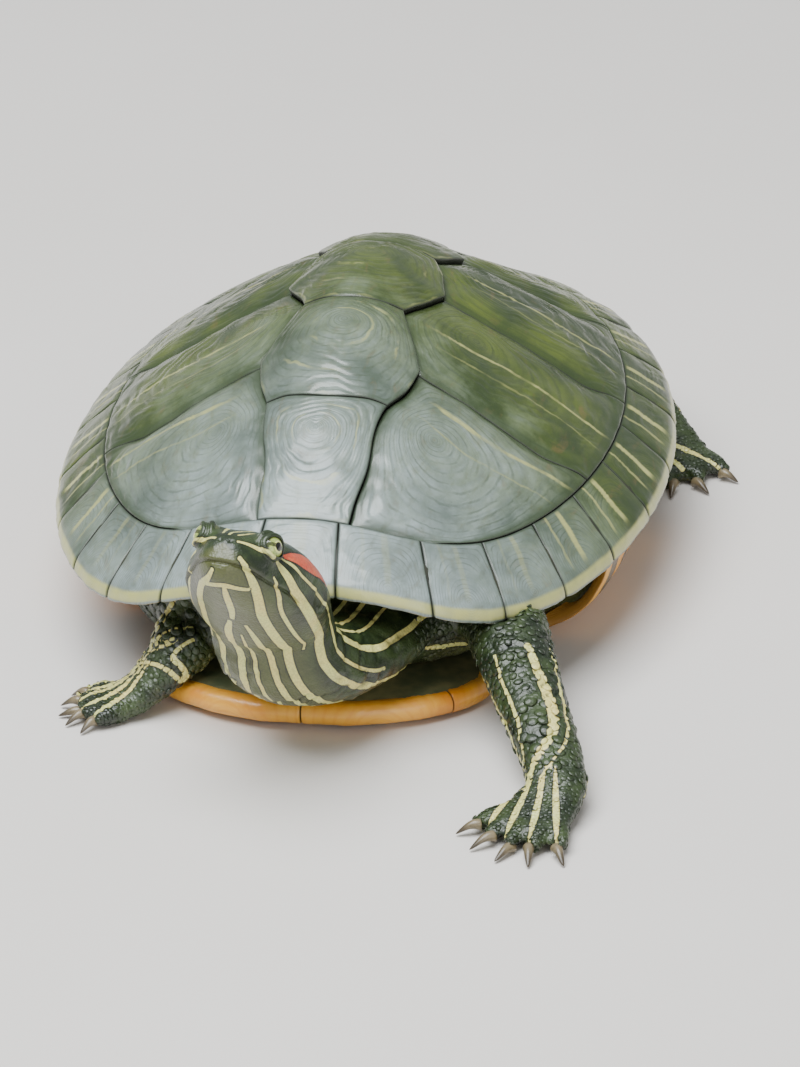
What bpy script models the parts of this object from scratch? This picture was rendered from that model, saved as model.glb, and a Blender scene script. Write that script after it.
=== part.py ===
"""A life-size red-eared slider, an adult female, resting on its plastron.

Metres, +Z up. The head points to -Y and the turtle's left side is +X. The origin is on the
flat under the plastron, below the middle of the shell.

Every part comes from a few shapes: the shell, the plastron and the trunk are nested rings over
one outline of the shell, and the neck, head, legs, toes, claws and tail are lofts along a bent
spine. Where flesh meets the shell or the trunk it is cut by a copy of that piece that is GAP
larger, so no two solids touch.
"""

import math

import bmesh
import bpy
from mathutils import Vector

# Driving dimensions
SHELL_LENGTH = 0.240
SHELL_WIDTH = 0.183
DOME_HEIGHT = 0.0883  # of the shell's top without its keel
GAP = 0.0003

# Shell outline and dome. Powers below 1 square the ends of the oval.
BLUNT_FRONT = 0.70
BLUNT_REAR = 0.745
REAR_SPREAD = 0.028  # share by which the rear half is wider
RIM_HEIGHT = 0.0325
RIM_LIFT_FRONT = 0.0158  # over the neck
RIM_LIFT_ARC = 0.40  # half width of that lift, radians
RIM_LIFT_REAR = 0.0020
POWER_SIDE = 1.685
POWER_FRONT = 2.02
POWER_REAR = 2.01
KEEL_HEIGHT = 0.0075
KEEL_HALF_WIDTH = 0.022
RIM_FLARE = 0.0022
REAR_FLARE = 0.0059
SERRATION = 0.011  # depth of the notches between the rear marginals, share of the radius
MARGINALS = 12  # on each side
SHELL_THICKNESS = 0.0065
RIM_THICKNESS = 0.0050

# Plastron and bridges
PLASTRON_FRONT = -0.1140
PLASTRON_REAR = 0.1060
PLASTRON_THICKNESS = 0.0070
LOBE_HALF_WIDTH = 0.0505
BRIDGE_FRONT = -0.050
BRIDGE_REAR = 0.034
BRIDGE_FOOT = 0.0570  # half width of the plastron between the bridges
GULAR_LIFT = 0.0020
BRIDGE_THICKNESS = 0.0050
BRIDGE_BOW = 0.007
BRIDGE_STEPS = 5

# Trunk, the flesh between the two shells
TRUNK_REACH = 0.855  # share of the shell's radius
TRUNK_CLEARANCE = 0.0016  # above the plastron and below the dome

# Head and neck
HEAD_LENGTH = 0.048
HEAD_YAW = math.radians(9.5)  # towards the turtle's right
HEAD_PITCH = math.radians(48)
HEAD_ROLL = math.radians(-2)  # the left side up
HEAD_JOINT = Vector((-0.0034, -0.1335, 0.0500))
EYE_RADIUS = 0.0044
EYE_AHEAD = 0.0376  # from the head's joint
EYE_ASIDE = 0.0083
EYE_UP = 0.0044

SHELL_SEGMENTS = 66
PLASTRON_SEGMENTS = 52
TRUNK_SEGMENTS = 36
NECK_SIDES = 20
LIMB_SIDES = 12
TOE_SIDES = 6
CLAW_SIDES = 5
MM = 0.001


def clear_scene():
    """Removes every object of the scene."""
    for old in list(bpy.data.objects):
        bpy.data.objects.remove(old, do_unlink=True)


def make_material(name, colour, roughness):
    """A plain Principled material, never metallic on an animal."""
    made = bpy.data.materials.new(name)
    made.use_nodes = True
    shader = made.node_tree.nodes["Principled BSDF"]
    shader.inputs["Base Color"].default_value = (*colour, 1.0)
    shader.inputs["Roughness"].default_value = roughness
    shader.inputs["Metallic"].default_value = 0.0
    return made


def smooth(low, high, value):
    """0 below low, 1 above high, and a smooth step between."""
    t = min(1.0, max(0.0, (value - low) / (high - low)))
    return t * t * (3 - 2 * t)


def mix(a, b, t):
    return a + (b - a) * t


def through(stations, t):
    """A smooth curve through stations, which are (t, values) in order; values are numbers or Vectors."""
    places = [s[0] for s in stations]
    i = max(0, min(len(stations) - 2, sum(1 for p in places if p <= t) - 1))
    span = places[i + 1] - places[i]
    u = min(1.0, max(0.0, (t - places[i]) / span))
    before, after = max(0, i - 1), min(len(stations) - 1, i + 2)
    out = []
    for p0, p1, p2, p3 in zip(stations[before][1], stations[i][1], stations[i + 1][1], stations[after][1]):
        left = (p2 - p0) / max(places[i + 1] - places[before], 1e-9) * span
        right = (p3 - p1) / max(places[after] - places[i], 1e-9) * span
        out.append(
            (2 * u**3 - 3 * u**2 + 1) * p1
            + (u**3 - 2 * u**2 + u) * left
            + (3 * u**2 - 2 * u**3) * p2
            + (u**3 - u**2) * right
        )
    return out


# Solids from rings


def solid_from_rings(name, rings, look, pole_start=None, pole_end=None):
    """One closed solid: a ring of points extruded from each ring to the next, capped at both ends.

    A cap is a flat face, or a fan to a pole where one is given.
    """
    mesh = bmesh.new()
    made = bmesh.ops.create_circle(mesh, segments=len(rings[0]), radius=1.0)
    current = list(made["verts"])
    edges = list(mesh.edges)
    for vert, place in zip(current, rings[0]):
        vert.co = place
    first = list(edges)
    for ring in rings[1:]:
        copies = dict.fromkeys(current)
        grown = bmesh.ops.extrude_edge_only(mesh, edges=edges)["geom"]
        fresh = {v for v in grown if isinstance(v, bmesh.types.BMVert)}
        for vert in current:
            copies[vert] = next(e.other_vert(vert) for e in vert.link_edges if e.other_vert(vert) in fresh)
        current = [copies[vert] for vert in current]
        for vert, place in zip(current, ring):
            vert.co = place
        edges = [e for e in grown if isinstance(e, bmesh.types.BMEdge) and set(e.verts) <= fresh]
    for loop, pole in ((first, pole_start), (edges, pole_end)):
        cap = bmesh.ops.contextual_create(mesh, geom=loop)["faces"]
        if pole is not None:
            bmesh.ops.poke(mesh, faces=cap)["verts"][0].co = pole
    bmesh.ops.recalc_face_normals(mesh, faces=mesh.faces)
    bmesh.ops.triangulate(mesh, faces=mesh.faces, quad_method="FIXED")
    data = bpy.data.meshes.new(name)
    mesh.to_mesh(data)
    mesh.free()
    data.materials.append(look)
    data.shade_smooth()
    made = bpy.data.objects.new(name, data)
    bpy.context.scene.collection.objects.link(made)
    return made


def hide_as_cutter(made):
    made.hide_render = True
    made.display_type = "WIRE"
    return made


def grown_cutter(name, source):
    """A copy of a solid, before its own cuts, that stands GAP off it all round, to cut its neighbours with."""
    data = source.data.copy()
    mesh = bmesh.new()
    mesh.from_mesh(data)
    mesh.normal_update()
    moves = [(v, v.normal * (GAP * min(2.0, v.calc_shell_factor()))) for v in mesh.verts]
    for vert, move in moves:
        vert.co += move
    mesh.to_mesh(data)
    mesh.free()
    made = bpy.data.objects.new(name, data)
    bpy.context.scene.collection.objects.link(made)
    return hide_as_cutter(made)


def boolean(target, other, operation):
    step = target.modifiers.new(f"{operation.lower()}_{other.name}", "BOOLEAN")
    step.operation = operation
    step.object = other
    step.solver = "EXACT"


# The shell


def outline(phi):
    """A point of the shell's outline in plan. phi is 0 at the front, pi at the rear, and negative on the right."""
    side, ahead = math.sin(phi), math.cos(phi)
    blunt = mix(BLUNT_FRONT, BLUNT_REAR, (1 - ahead) / 2)
    x = SHELL_WIDTH / 2 * math.copysign(abs(side) ** blunt, side) * (1 - REAR_SPREAD * ahead)
    y = -SHELL_LENGTH / 2 * ahead
    notch = abs(math.cos(abs(phi) / math.pi * MARGINALS * math.pi)) ** 6
    bite = 1 - SERRATION * notch * smooth(math.radians(118), math.radians(150), abs(phi))
    return Vector((x * bite, y * bite))


def rim_height(phi):
    """Height of the shell's edge: raised over the neck and, a little, over the tail."""
    rear = ((1 - math.cos(phi)) / 2) ** 2
    return RIM_HEIGHT + RIM_LIFT_FRONT * math.exp(-((phi / RIM_LIFT_ARC) ** 2)) + RIM_LIFT_REAR * rear


def dome_point(radius, phi, drop=0.0):
    """A point of the shell's top, radius 0 at its crown and 1 at its edge, lowered by drop."""
    plan = outline(phi) * radius
    rim = rim_height(phi)
    front, rear = max(0.0, math.cos(phi)) ** 2, max(0.0, -math.cos(phi)) ** 2
    power = POWER_SIDE * (1 - front - rear) + POWER_FRONT * front + POWER_REAR * rear
    z = rim + (DOME_HEIGHT - rim) * (1 - radius**power)
    z += RIM_FLARE * smooth(0.82, 1.0, radius) * (1 - 0.6 * math.sin(phi) ** 2)
    z += REAR_FLARE * smooth(0.6, 1.0, radius) * rear
    z += KEEL_HEIGHT * math.exp(-((plan.x / KEEL_HALF_WIDTH) ** 2)) * (1 - radius**2)
    return Vector((plan.x, plan.y, z - drop))


def ring_angles(count):
    """Angles round the outline whose points are evenly far apart."""
    fine = [2 * math.pi * i / 720 - math.pi for i in range(721)]
    places = [outline(phi) for phi in fine]
    walked = [0.0]
    for a, b in zip(places, places[1:]):
        walked.append(walked[-1] + (b - a).length)
    angles, i = [], 0
    for k in range(count):
        goal = walked[-1] * k / count
        while walked[i + 1] < goal:
            i += 1
        angles.append(mix(fine[i], fine[i + 1], (goal - walked[i]) / (walked[i + 1] - walked[i])))
    return angles


def make_carapace(look):
    """The upper shell: a thin dome whose edge is rounded."""
    angles = ring_angles(SHELL_SEGMENTS)
    top = [0.12, 0.28, 0.44, 0.59, 0.73, 0.86, 0.96]
    rings = [[dome_point(r, phi) for phi in angles] for r in top]
    rings.append([dome_point(1.0, phi, RIM_THICKNESS * 0.30) for phi in angles])
    rings.append([dome_point(0.990, phi, RIM_THICKNESS) for phi in angles])
    for r in reversed(top[:-1]):
        rings.append([dome_point(r, phi, SHELL_THICKNESS + 0.001 * smooth(0.6, 1.0, r)) for phi in angles])
    crown = dome_point(0.0, 0.0)
    return solid_from_rings("carapace", rings, look, crown, crown - Vector((0, 0, SHELL_THICKNESS)))


def plastron_half_width(y):
    """Half width of the plastron in plan: two lobes with a waist at each notch, widest between the bridges."""
    stations = [
        (PLASTRON_FRONT, (0.0120,)),
        (PLASTRON_FRONT + 0.0012, (0.0180,)),
        (PLASTRON_FRONT + 0.0035, (0.0250,)),
        (PLASTRON_FRONT + 0.0075, (0.0335,)),
        (PLASTRON_FRONT + 0.0140, (0.0425,)),
        (PLASTRON_FRONT + 0.0220, (0.0485,)),
        (-0.078, (LOBE_HALF_WIDTH + 0.001,)),
        (BRIDGE_FRONT - 0.004, (LOBE_HALF_WIDTH,)),
        (BRIDGE_FRONT + 0.012, (BRIDGE_FOOT,)),
        (BRIDGE_REAR - 0.010, (BRIDGE_FOOT,)),
        (BRIDGE_REAR + 0.006, (LOBE_HALF_WIDTH,)),
        (0.062, (LOBE_HALF_WIDTH + 0.001,)),
        (0.086, (0.040,)),
        (0.100, (0.026,)),
        (PLASTRON_REAR, (0.014,)),
    ]
    return through(stations, y)[0]


def plastron_lift(y):
    """The front lobe curves up towards its edge, and the rear lobe slightly."""
    front = (1 - smooth(PLASTRON_FRONT, -0.078, y)) if y < 0 else 0.0
    rear = smooth(0.075, PLASTRON_REAR, y) if y > 0 else 0.0
    return GULAR_LIFT * front + 0.003 * rear


def plastron_outline(count):
    """Points round the plastron in plan, evenly spread along its two sides."""
    half = count // 2
    ys = [mix(PLASTRON_FRONT, PLASTRON_REAR, 0.5 - 0.5 * math.cos(math.pi * i / half)) for i in range(half + 1)]
    left = [Vector((plastron_half_width(y), y)) for y in ys]
    return left + [Vector((-p.x, p.y)) for p in reversed(left)]


def make_plastron(look):
    """The lower shell: a slab with a flat underside and rounded edges."""
    points = plastron_outline(PLASTRON_SEGMENTS)

    def ring(scale, height):
        plan = [Vector((p.x * scale, p.y * (1 - (1 - scale) * 0.5))) for p in points]
        return [Vector((p.x, p.y, height + plastron_lift(p.y))) for p in plan]

    thick = PLASTRON_THICKNESS
    levels = [(0.60, 0.0), (0.94, 0.0), (0.985, thick * 0.18), (1.0, thick * 0.48)]
    levels += [(0.985, thick * 0.82), (0.93, thick), (0.60, thick)]
    rings = [ring(scale, height) for scale, height in levels]
    return solid_from_rings("plastron", rings, look, Vector((0, 0, 0)), Vector((0, 0, thick)))


def bridge_section(y, side):
    """The bridge's wall at y: from beside the plastron up and out to below the marginals."""
    phi = math.acos(max(-1.0, min(1.0, -2 * y / SHELL_LENGTH)))
    top = dome_point(0.945, phi, SHELL_THICKNESS - 0.0035)
    foot = BRIDGE_FOOT - 0.002
    outer, inner = [], []
    for i in range(BRIDGE_STEPS + 1):
        t = i / BRIDGE_STEPS
        bow = BRIDGE_BOW * math.sin(math.pi * t)
        outer.append(Vector((side * (mix(foot, top.x, t) + bow), y, mix(0.0008, top.z, t**1.35) - bow * 0.2)))
        across = mix(foot, top.x - BRIDGE_THICKNESS, t)
        inner.append(Vector((side * across, y, mix(BRIDGE_THICKNESS + 0.0008, top.z, t**1.1))))
    return outer + list(reversed(inner))


def make_bridge(side, look):
    """One bridge, the wall that joins the plastron to the upper shell between the legs."""
    name = "bridge_left" if side > 0 else "bridge_right"
    ys = [mix(BRIDGE_FRONT + 0.010, BRIDGE_REAR - 0.010, i / 9) for i in range(10)]
    made = solid_from_rings(name, [bridge_section(y, side) for y in ys], look)
    return cut_clear(made, ("plastron_cutter", "carapace_cutter"))


def make_trunk(look):
    """The body inside the shell: it fills the dome and lies on the plastron."""
    angles = ring_angles(TRUNK_SEGMENTS)
    floor = PLASTRON_THICKNESS + TRUNK_CLEARANCE
    under = SHELL_THICKNESS + TRUNK_CLEARANCE

    def narrow(y, z):
        """Keeps the sides clear of the bridges, below the dome."""
        beside = smooth(BRIDGE_FRONT - 0.03, BRIDGE_FRONT, y) * (1 - smooth(BRIDGE_REAR, BRIDGE_REAR + 0.03, y))
        return 1 - 0.20 * beside * (1 - smooth(0.035, 0.060, z))

    def ring(radius, height=None):
        points = [dome_point(TRUNK_REACH * radius, phi, under) for phi in angles]
        levels = [p.z if height is None else height for p in points]
        return [Vector((p.x * narrow(p.y, z), p.y, z)) for p, z in zip(points, levels)]

    rings = [ring(0.50, floor), ring(0.86, floor), ring(0.96, floor + 0.006), ring(1.0, floor + 0.015)]
    rings += [ring(r) for r in (0.97, 0.84, 0.66, 0.46, 0.24)]
    return solid_from_rings("trunk", rings, look, Vector((0, 0, floor)), dome_point(0.0, 0.0, under))


# Lofts along a bent spine. A station is (x, y, z, half width, over, under), and over and under are the
# section's reach above and below the spine.


def spread_out(stations, unit=1.0):
    """Stations with the share of the spine's length before each: [(t, values), ...]."""
    stations = [tuple(c * unit for c in s) for s in stations]
    walked = [0.0]
    for a, b in zip(stations, stations[1:]):
        walked.append(walked[-1] + (Vector(b[:3]) - Vector(a[:3])).length)
    return [(w / walked[-1], s) for w, s in zip(walked, stations)], walked[-1]


def spine_frame(spine, t, up=Vector((0, 0, 1))):
    """(place, forward, side, up) at t of a spine."""
    step = 0.004
    place = Vector(through(spine, t)[:3])
    ahead = Vector(through(spine, min(1.0, t + step))[:3])
    behind = Vector(through(spine, max(0.0, t - step))[:3])
    forward = (ahead - behind).normalized()
    side = forward.cross(up).normalized()
    return place, forward, side, side.cross(forward)


def section_ring(frame, half_width, over, under, sides, square=2.0):
    """An oval ring across a spine."""
    place, _, side, up = frame
    ring = []
    for i in range(sides):
        angle = 2 * math.pi * i / sides
        c, s = math.cos(angle), math.sin(angle)
        across = math.copysign(abs(c) ** (2 / square), c) * half_width
        rise = math.copysign(abs(s) ** (2 / square), s) * (over if s > 0 else under)
        ring.append(place + side * across + up * rise)
    return ring


def make_limb(name, spine, look, start, end, rings, sides, tip=False, square=2.2):
    """A loft between two places on a spine, with nothing below the floor.

    A tip is rounded off past its end; any other end is a flat cut.
    """
    places = [mix(start, end, i / rings) for i in range(rings + 1)]
    made = [section_ring(spine_frame(spine, t), *through(spine, t)[3:], sides, square) for t in places]
    if tip:
        place, forward, side, up = spine_frame(spine, end)
        half_width, over, under = through(spine, end)[3:]
        for turn in (math.radians(32), math.radians(64)):
            rounded = (place + forward * min(half_width, over) * 0.9 * math.sin(turn), forward, side, up)
            shrink = math.cos(turn)
            made.append(section_ring(rounded, half_width * shrink, over * shrink, under * shrink, sides, square))
    made = [[Vector((p.x, p.y, max(0.0, p.z))) for p in ring] for ring in made]
    return solid_from_rings(name, made, look)


def cut_clear(made, cutters):
    """Takes the grown copies of the shell's parts or the trunk out of a piece of flesh."""
    for cutter in cutters:
        boolean(made, bpy.data.objects[cutter], "DIFFERENCE")
    return made


# Head and neck


def facing_axes(yaw, pitch, roll):
    """(forward, left, up) of something that looks to -Y before it is turned right, tipped up and rolled left up."""
    level = Vector((-math.sin(yaw), -math.cos(yaw), 0))
    forward = level * math.cos(pitch) + Vector((0, 0, math.sin(pitch)))
    left = Vector((math.cos(yaw), -math.sin(yaw), 0))
    up = forward.cross(left)
    return (
        forward,
        left * math.cos(roll) + up * math.sin(roll),
        up * math.cos(roll) - left * math.sin(roll),
    )


def head_axes():
    return facing_axes(HEAD_YAW, HEAD_PITCH, HEAD_ROLL)


# Stations of the neck in millimetres: x, y, z, half width, over, under, then the pitch of the section in degrees
NECK = [
    (6, -78, 27, 29.0, 12.0, 12.0, 0),
    (7, -102, 26, 28.0, 12.2, 13.4, 0),
    (3, -121, 28.5, 23.0, 12.4, 14.0, 20),
    (-1.6, -132, 37.5, 19.4, 13.0, 14.4, 42),
    (-3.4, -133.5, 49.5, 18.4, 13.6, 13.8, 48),
]


def make_neck(look):
    """The neck leaves the trunk low, rises close before the shell's edge and carries the head high."""
    spine, _ = spread_out([(*(c * MM for c in s[:6]), math.radians(s[6])) for s in NECK])
    rings = []
    for i in range(11):
        t = i / 10
        x, y, z, half_width, over, under, pitch = through(spine, t)
        turn = smooth(0.45, 1.0, t)
        forward, left, up = facing_axes(HEAD_YAW * turn, pitch, HEAD_ROLL * turn)
        frame = (Vector((x, y, z)), forward, -left, up)
        rings.append(section_ring(frame, half_width, over, under, NECK_SIDES))
    return cut_clear(solid_from_rings("neck", rings, look), CUTTERS)


def head_sizes(t):
    """(half width, over, under) along the head: 0 at the joint and 1 at the snout."""
    stations = [
        (0.0, (0.0184, 0.0136, 0.0138)),
        (0.20, (0.0198, 0.0146, 0.0136)),
        (0.40, (0.0192, 0.0142, 0.0124)),
        (0.60, (0.0161, 0.0128, 0.0110)),
        (0.76, (0.0122, 0.0108, 0.0096)),
        (0.88, (0.0092, 0.0086, 0.0084)),
        (0.96, (0.0062, 0.0062, 0.0070)),
        (1.0, (0.0040, 0.0042, 0.0052)),
    ]
    return through(stations, t)


def head_rings(start, end, count):
    forward, left, up = head_axes()
    rings = []
    for i in range(count + 1):
        t = 1 - (1 - mix(start, end, i / count)) ** 1.25
        droop = -0.0022 * smooth(0.35, 1.0, t)
        place = HEAD_JOINT + forward * (HEAD_LENGTH * t) + up * droop
        half_width, over, under = head_sizes(t)
        rings.append(section_ring((place, forward, -left, up), half_width, over, under, NECK_SIDES, 2.15))
    return rings


def make_head(look, jaw_look):
    """The head with its closed bill, and the lower jaw parted from it by a thin cut."""
    forward, left, up = head_axes()
    gap = GAP / HEAD_LENGTH
    head = solid_from_rings("head", head_rings(gap * 1.2, 1.0, 13), look)
    for side, name in ((1, "left"), (-1, "right")):
        socket = make_ball(f"socket_{name}", eye_place(side), EYE_RADIUS + GAP, look)
        boolean(head, hide_as_cutter(socket), "DIFFERENCE")
    jaw = solid_from_rings("lower_jaw", head_rings(gap * 1.2, 1.0, 13), jaw_look)
    mouth = mouth_wedge("mouth_upper", 0.0, look)
    boolean(head, mouth, "DIFFERENCE")
    boolean(jaw, mouth_wedge("mouth_lower", GAP, look), "INTERSECT")
    return head


def mouth_wedge(name, inset, look):
    """The space of the lower jaw: below a line from the bill's tip to the jaw's corner, ahead of that corner."""
    forward, left, up = head_axes()

    def at(ahead, rise, aside):
        return HEAD_JOINT + forward * ahead + up * rise + left * aside

    corner = at(0.0225 + inset, -0.0040 - inset, 0)
    tip = at(HEAD_LENGTH + 0.004, -0.0048 - inset, 0)
    rings = []
    for aside in (-0.03, 0.03):
        shift = left * aside
        low_tip = tip - up * 0.03
        low_corner = corner - up * 0.03 - forward * 0.006
        rings.append([corner + shift, tip + shift, low_tip + shift, low_corner + shift])
    return hide_as_cutter(solid_from_rings(name, rings, look))


def eye_place(side):
    forward, left, up = head_axes()
    return HEAD_JOINT + forward * EYE_AHEAD + left * (EYE_ASIDE * side) + up * EYE_UP


def make_ball(name, place, radius, look):
    mesh = bmesh.new()
    bmesh.ops.create_uvsphere(mesh, u_segments=12, v_segments=8, radius=radius)
    data = bpy.data.meshes.new(name)
    mesh.to_mesh(data)
    mesh.free()
    data.materials.append(look)
    data.shade_smooth()
    made = bpy.data.objects.new(name, data)
    made.location = place
    bpy.context.scene.collection.objects.link(made)
    return made


# Legs, feet and tail, in millimetres. A leg's last two stations are the middle and the front of its palm.

LEGS = {
    "foreleg_left": {
        "stations": [
            (40, -62, 27, 13.0, 12.5, 11.0),
            (54, -86, 27, 12.5, 11.5, 11.0),
            (62, -107, 23, 11.2, 10.0, 10.0),
            (71, -128, 15.5, 9.8, 8.0, 8.4),
            (79, -148, 8.2, 8.8, 5.6, 6.6),
            (76, -158, 5.0, 10.4, 4.2, 5.0),
            (73, -165, 4.0, 10.4, 3.2, 4.0),
        ],
        "toes": 5,
        "spread": 66,
        "palm": 10.2,
        "toe": 9.0,
        "claw": 7.0,
    },
    "foreleg_right": {
        "stations": [
            (-38, -50, 27, 13.0, 12.5, 11.0),
            (-33, -70, 27, 12.5, 11.5, 11.0),
            (-33, -86, 23.5, 11.4, 9.6, 9.8),
            (-38, -98, 16.5, 10.0, 7.6, 7.6),
            (-45, -103.5, 9.6, 8.4, 5.4, 6.0),
            (-51, -106.5, 5.4, 8.8, 4.2, 5.4),
            (-56, -108.2, 4.0, 8.8, 3.4, 4.0),
        ],
        "toes": 5,
        "spread": 40,
        "palm": 8.8,
        "toe": 6.8,
        "claw": 5.8,
    },
    "hindleg_left": {
        "stations": [
            (44, 60, 26, 16.0, 13.0, 12.0),
            (58, 76, 24, 14.0, 11.0, 11.0),
            (70, 85, 16.5, 11.6, 8.6, 9.0),
            (77.5, 81, 9.6, 9.6, 6.0, 6.8),
            (83, 71, 5.2, 12.0, 4.4, 5.2),
            (87, 61, 4.0, 12.8, 3.0, 4.0),
        ],
        "toes": 4,
        "spread": 52,
        "palm": 12.8,
        "toe": 9.0,
        "claw": 6.0,
    },
    "hindleg_right": {
        "stations": [
            (-44, 60, 26, 16.0, 13.0, 12.0),
            (-56, 76, 24, 14.0, 11.0, 11.0),
            (-62, 91, 16, 11.6, 8.6, 9.0),
            (-65, 103, 8.4, 9.8, 6.0, 6.8),
            (-68, 114, 4.8, 12.2, 4.4, 4.8),
            (-71, 124, 4.0, 12.6, 3.0, 4.0),
        ],
        "toes": 4,
        "spread": 56,
        "palm": 12.8,
        "toe": 9.0,
        "claw": 6.0,
    },
}
TAIL = [
    (4, 84, 22, 12.0, 10.0, 10.0),
    (8, 106, 14, 8.0, 7.5, 7.5),
    (16, 126, 6.0, 4.4, 4.2, 6.0),
    (30, 139, 2.8, 1.6, 1.6, 2.8),
]
CUTTERS = ("trunk_cutter", "carapace_cutter", "plastron_cutter")
WRIST = -3  # the station of a leg where its foot begins


def toe_spine(plan, index):
    """A toe from inside the palm to its claw's point: it spreads from the foot's way and bends down."""
    back, front = (Vector(s[:3]) * MM for s in plan["stations"][-2:])
    facing = Vector(((front - back).x, (front - back).y, 0)).normalized()
    share = index / (plan["toes"] - 1) - 0.5
    turn = math.radians(plan["spread"]) * share
    c, s = math.cos(turn), math.sin(turn)
    way = Vector((facing.x * c - facing.y * s, facing.x * s + facing.y * c, 0))
    side = Vector((-facing.y, facing.x, 0))
    root = back + facing * (0.0045 - 0.010 * share**2) + side * (plan["palm"] * MM * 1.45 * share)
    reach = (plan["toe"] + plan["claw"]) * MM * (1.0 - 0.5 * share**2) + 0.004
    knuckle = root + way * reach * 0.45
    tip = root + way * reach
    split = 1 - plan["claw"] * MM * (1.0 - 0.5 * share**2) / reach
    thick = plan["palm"] * MM / 4.1
    stations = [
        (root.x, root.y, 0.0042, thick * 1.1, 0.0028, 0.0042),
        (knuckle.x, knuckle.y, 0.0042, thick, 0.0024, 0.0042),
        (tip.x, tip.y, 0.0009, 0.0009, 0.0009, 0.0009),
    ]
    return spread_out(stations)[0], split


def make_leg(name, plan, look, claw_look):
    """A leg down to the wrist or ankle, its foot with the toes joined on, and one solid for each claw."""
    spine, length = spread_out(plan["stations"], MM)
    wrist = spine[WRIST][0]
    cut_clear(make_limb(name, spine, look, 0.0, wrist, 10, LIMB_SIDES), (*CUTTERS, "neck_cutter"))
    foot_name = name.replace("leg", "foot")
    foot = make_limb(foot_name, spine, look, wrist + GAP / length, 1.0, 5, LIMB_SIDES, tip=True)
    cut_clear(foot, ("plastron_cutter",))
    for index in range(plan["toes"]):
        toe_line, split = toe_spine(plan, index)
        toe = make_limb(f"{foot_name}_toe_{index + 1}", toe_line, look, 0.0, split, 3, TOE_SIDES)
        boolean(foot, hide_as_cutter(toe), "UNION")
        claw_line, claw_length = claw_spine(toe_line, split)
        make_limb(f"{foot_name}_claw_{index + 1}", claw_line, claw_look, GAP / claw_length, 1.0, 3, CLAW_SIDES)


def claw_spine(toe_line, split):
    """The claw carries on from the toe's flat end, narrower and curved down to its point."""
    start, tip = through(toe_line, split), toe_line[-1][1]
    middle = [mix(a, b, 0.5) for a, b in zip(start, tip)]
    stations = [
        (*start[:2], start[2], 0.0017, 0.0018, 0.0020),
        (*middle[:2], middle[2] + 0.0004, 0.0012, 0.0012, 0.0014),
        (*tip[:2], 0.0007, 0.0003, 0.0003, 0.0006),
    ]
    return spread_out(stations)


def make_tail(look):
    """A short tapered tail that comes out under the rear edge and lies on the floor, turned to the left."""
    spine, _ = spread_out(TAIL, MM)
    cut_clear(make_limb("tail", spine, look, 0.0, 1.0, 9, 12, tip=True), CUTTERS)


def main():
    clear_scene()
    shell_look = make_material("carapace_olive", (0.09, 0.12, 0.07), 0.42)
    plastron_look = make_material("plastron_yellow", (0.72, 0.42, 0.10), 0.45)
    skin_look = make_material("skin_green", (0.05, 0.08, 0.04), 0.50)
    jaw_look = make_material("jaw_striped", (0.20, 0.26, 0.10), 0.48)
    eye_look = make_material("eye_green", (0.45, 0.55, 0.20), 0.10)
    claw_look = make_material("claw_horn", (0.16, 0.14, 0.10), 0.40)

    grown_cutter("carapace_cutter", make_carapace(shell_look))
    grown_cutter("plastron_cutter", make_plastron(plastron_look))
    grown_cutter("trunk_cutter", make_trunk(skin_look))
    for side in (1, -1):
        make_bridge(side, plastron_look)
    grown_cutter("neck_cutter", make_neck(skin_look))
    make_head(skin_look, jaw_look)
    for side, name in ((1, "left"), (-1, "right")):
        make_ball(f"eye_{name}", eye_place(side), EYE_RADIUS, eye_look)
    for name, plan in LEGS.items():
        make_leg(name, plan, skin_look, claw_look)
    make_tail(skin_look)


main()
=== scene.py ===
"""A life-size red-eared slider, an adult female at rest on her plastron.

The shell is made of separate horn plates over a smooth bony shell. One skin covers the head, neck, legs,
feet and tail, with scales as solid mesh where the animal has them. Eyes and claws are pieces of their own.
Metres, +Z up; the head points to -Y and the turtle's left side is +X.
"""

import logging
import math
from contextlib import contextmanager
from dataclasses import dataclass, field
from enum import Enum
from typing import Callable, Iterable, Iterator, Sequence

import bmesh
import bpy
import numpy as np
from mathutils import Matrix, Vector
from mathutils.bvhtree import BVHTree
from mathutils.kdtree import KDTree


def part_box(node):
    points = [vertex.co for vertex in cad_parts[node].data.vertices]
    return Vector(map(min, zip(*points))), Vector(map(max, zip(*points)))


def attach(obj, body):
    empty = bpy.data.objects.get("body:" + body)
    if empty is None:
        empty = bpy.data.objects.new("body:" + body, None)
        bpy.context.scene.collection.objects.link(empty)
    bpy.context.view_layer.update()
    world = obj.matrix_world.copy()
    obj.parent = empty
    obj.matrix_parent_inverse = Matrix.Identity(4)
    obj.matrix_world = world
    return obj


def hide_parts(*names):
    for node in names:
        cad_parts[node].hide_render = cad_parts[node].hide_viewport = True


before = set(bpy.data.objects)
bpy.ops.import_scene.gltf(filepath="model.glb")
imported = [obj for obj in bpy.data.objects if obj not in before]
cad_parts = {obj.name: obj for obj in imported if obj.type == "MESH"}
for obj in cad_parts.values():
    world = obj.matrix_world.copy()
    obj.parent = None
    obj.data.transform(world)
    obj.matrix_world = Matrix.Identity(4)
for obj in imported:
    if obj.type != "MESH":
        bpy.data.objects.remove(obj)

log = logging.getLogger("slider")

MM = 0.001
TINY = 1e-9  # metres, so that no length is divided by zero

Array = np.ndarray
Piece = bpy.types.Object
Mesh = bpy.types.Mesh
Surface = Callable[[Array, Array], Array]  # gives places for shares across and along a plate


# Curves and fields over many places at once


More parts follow.
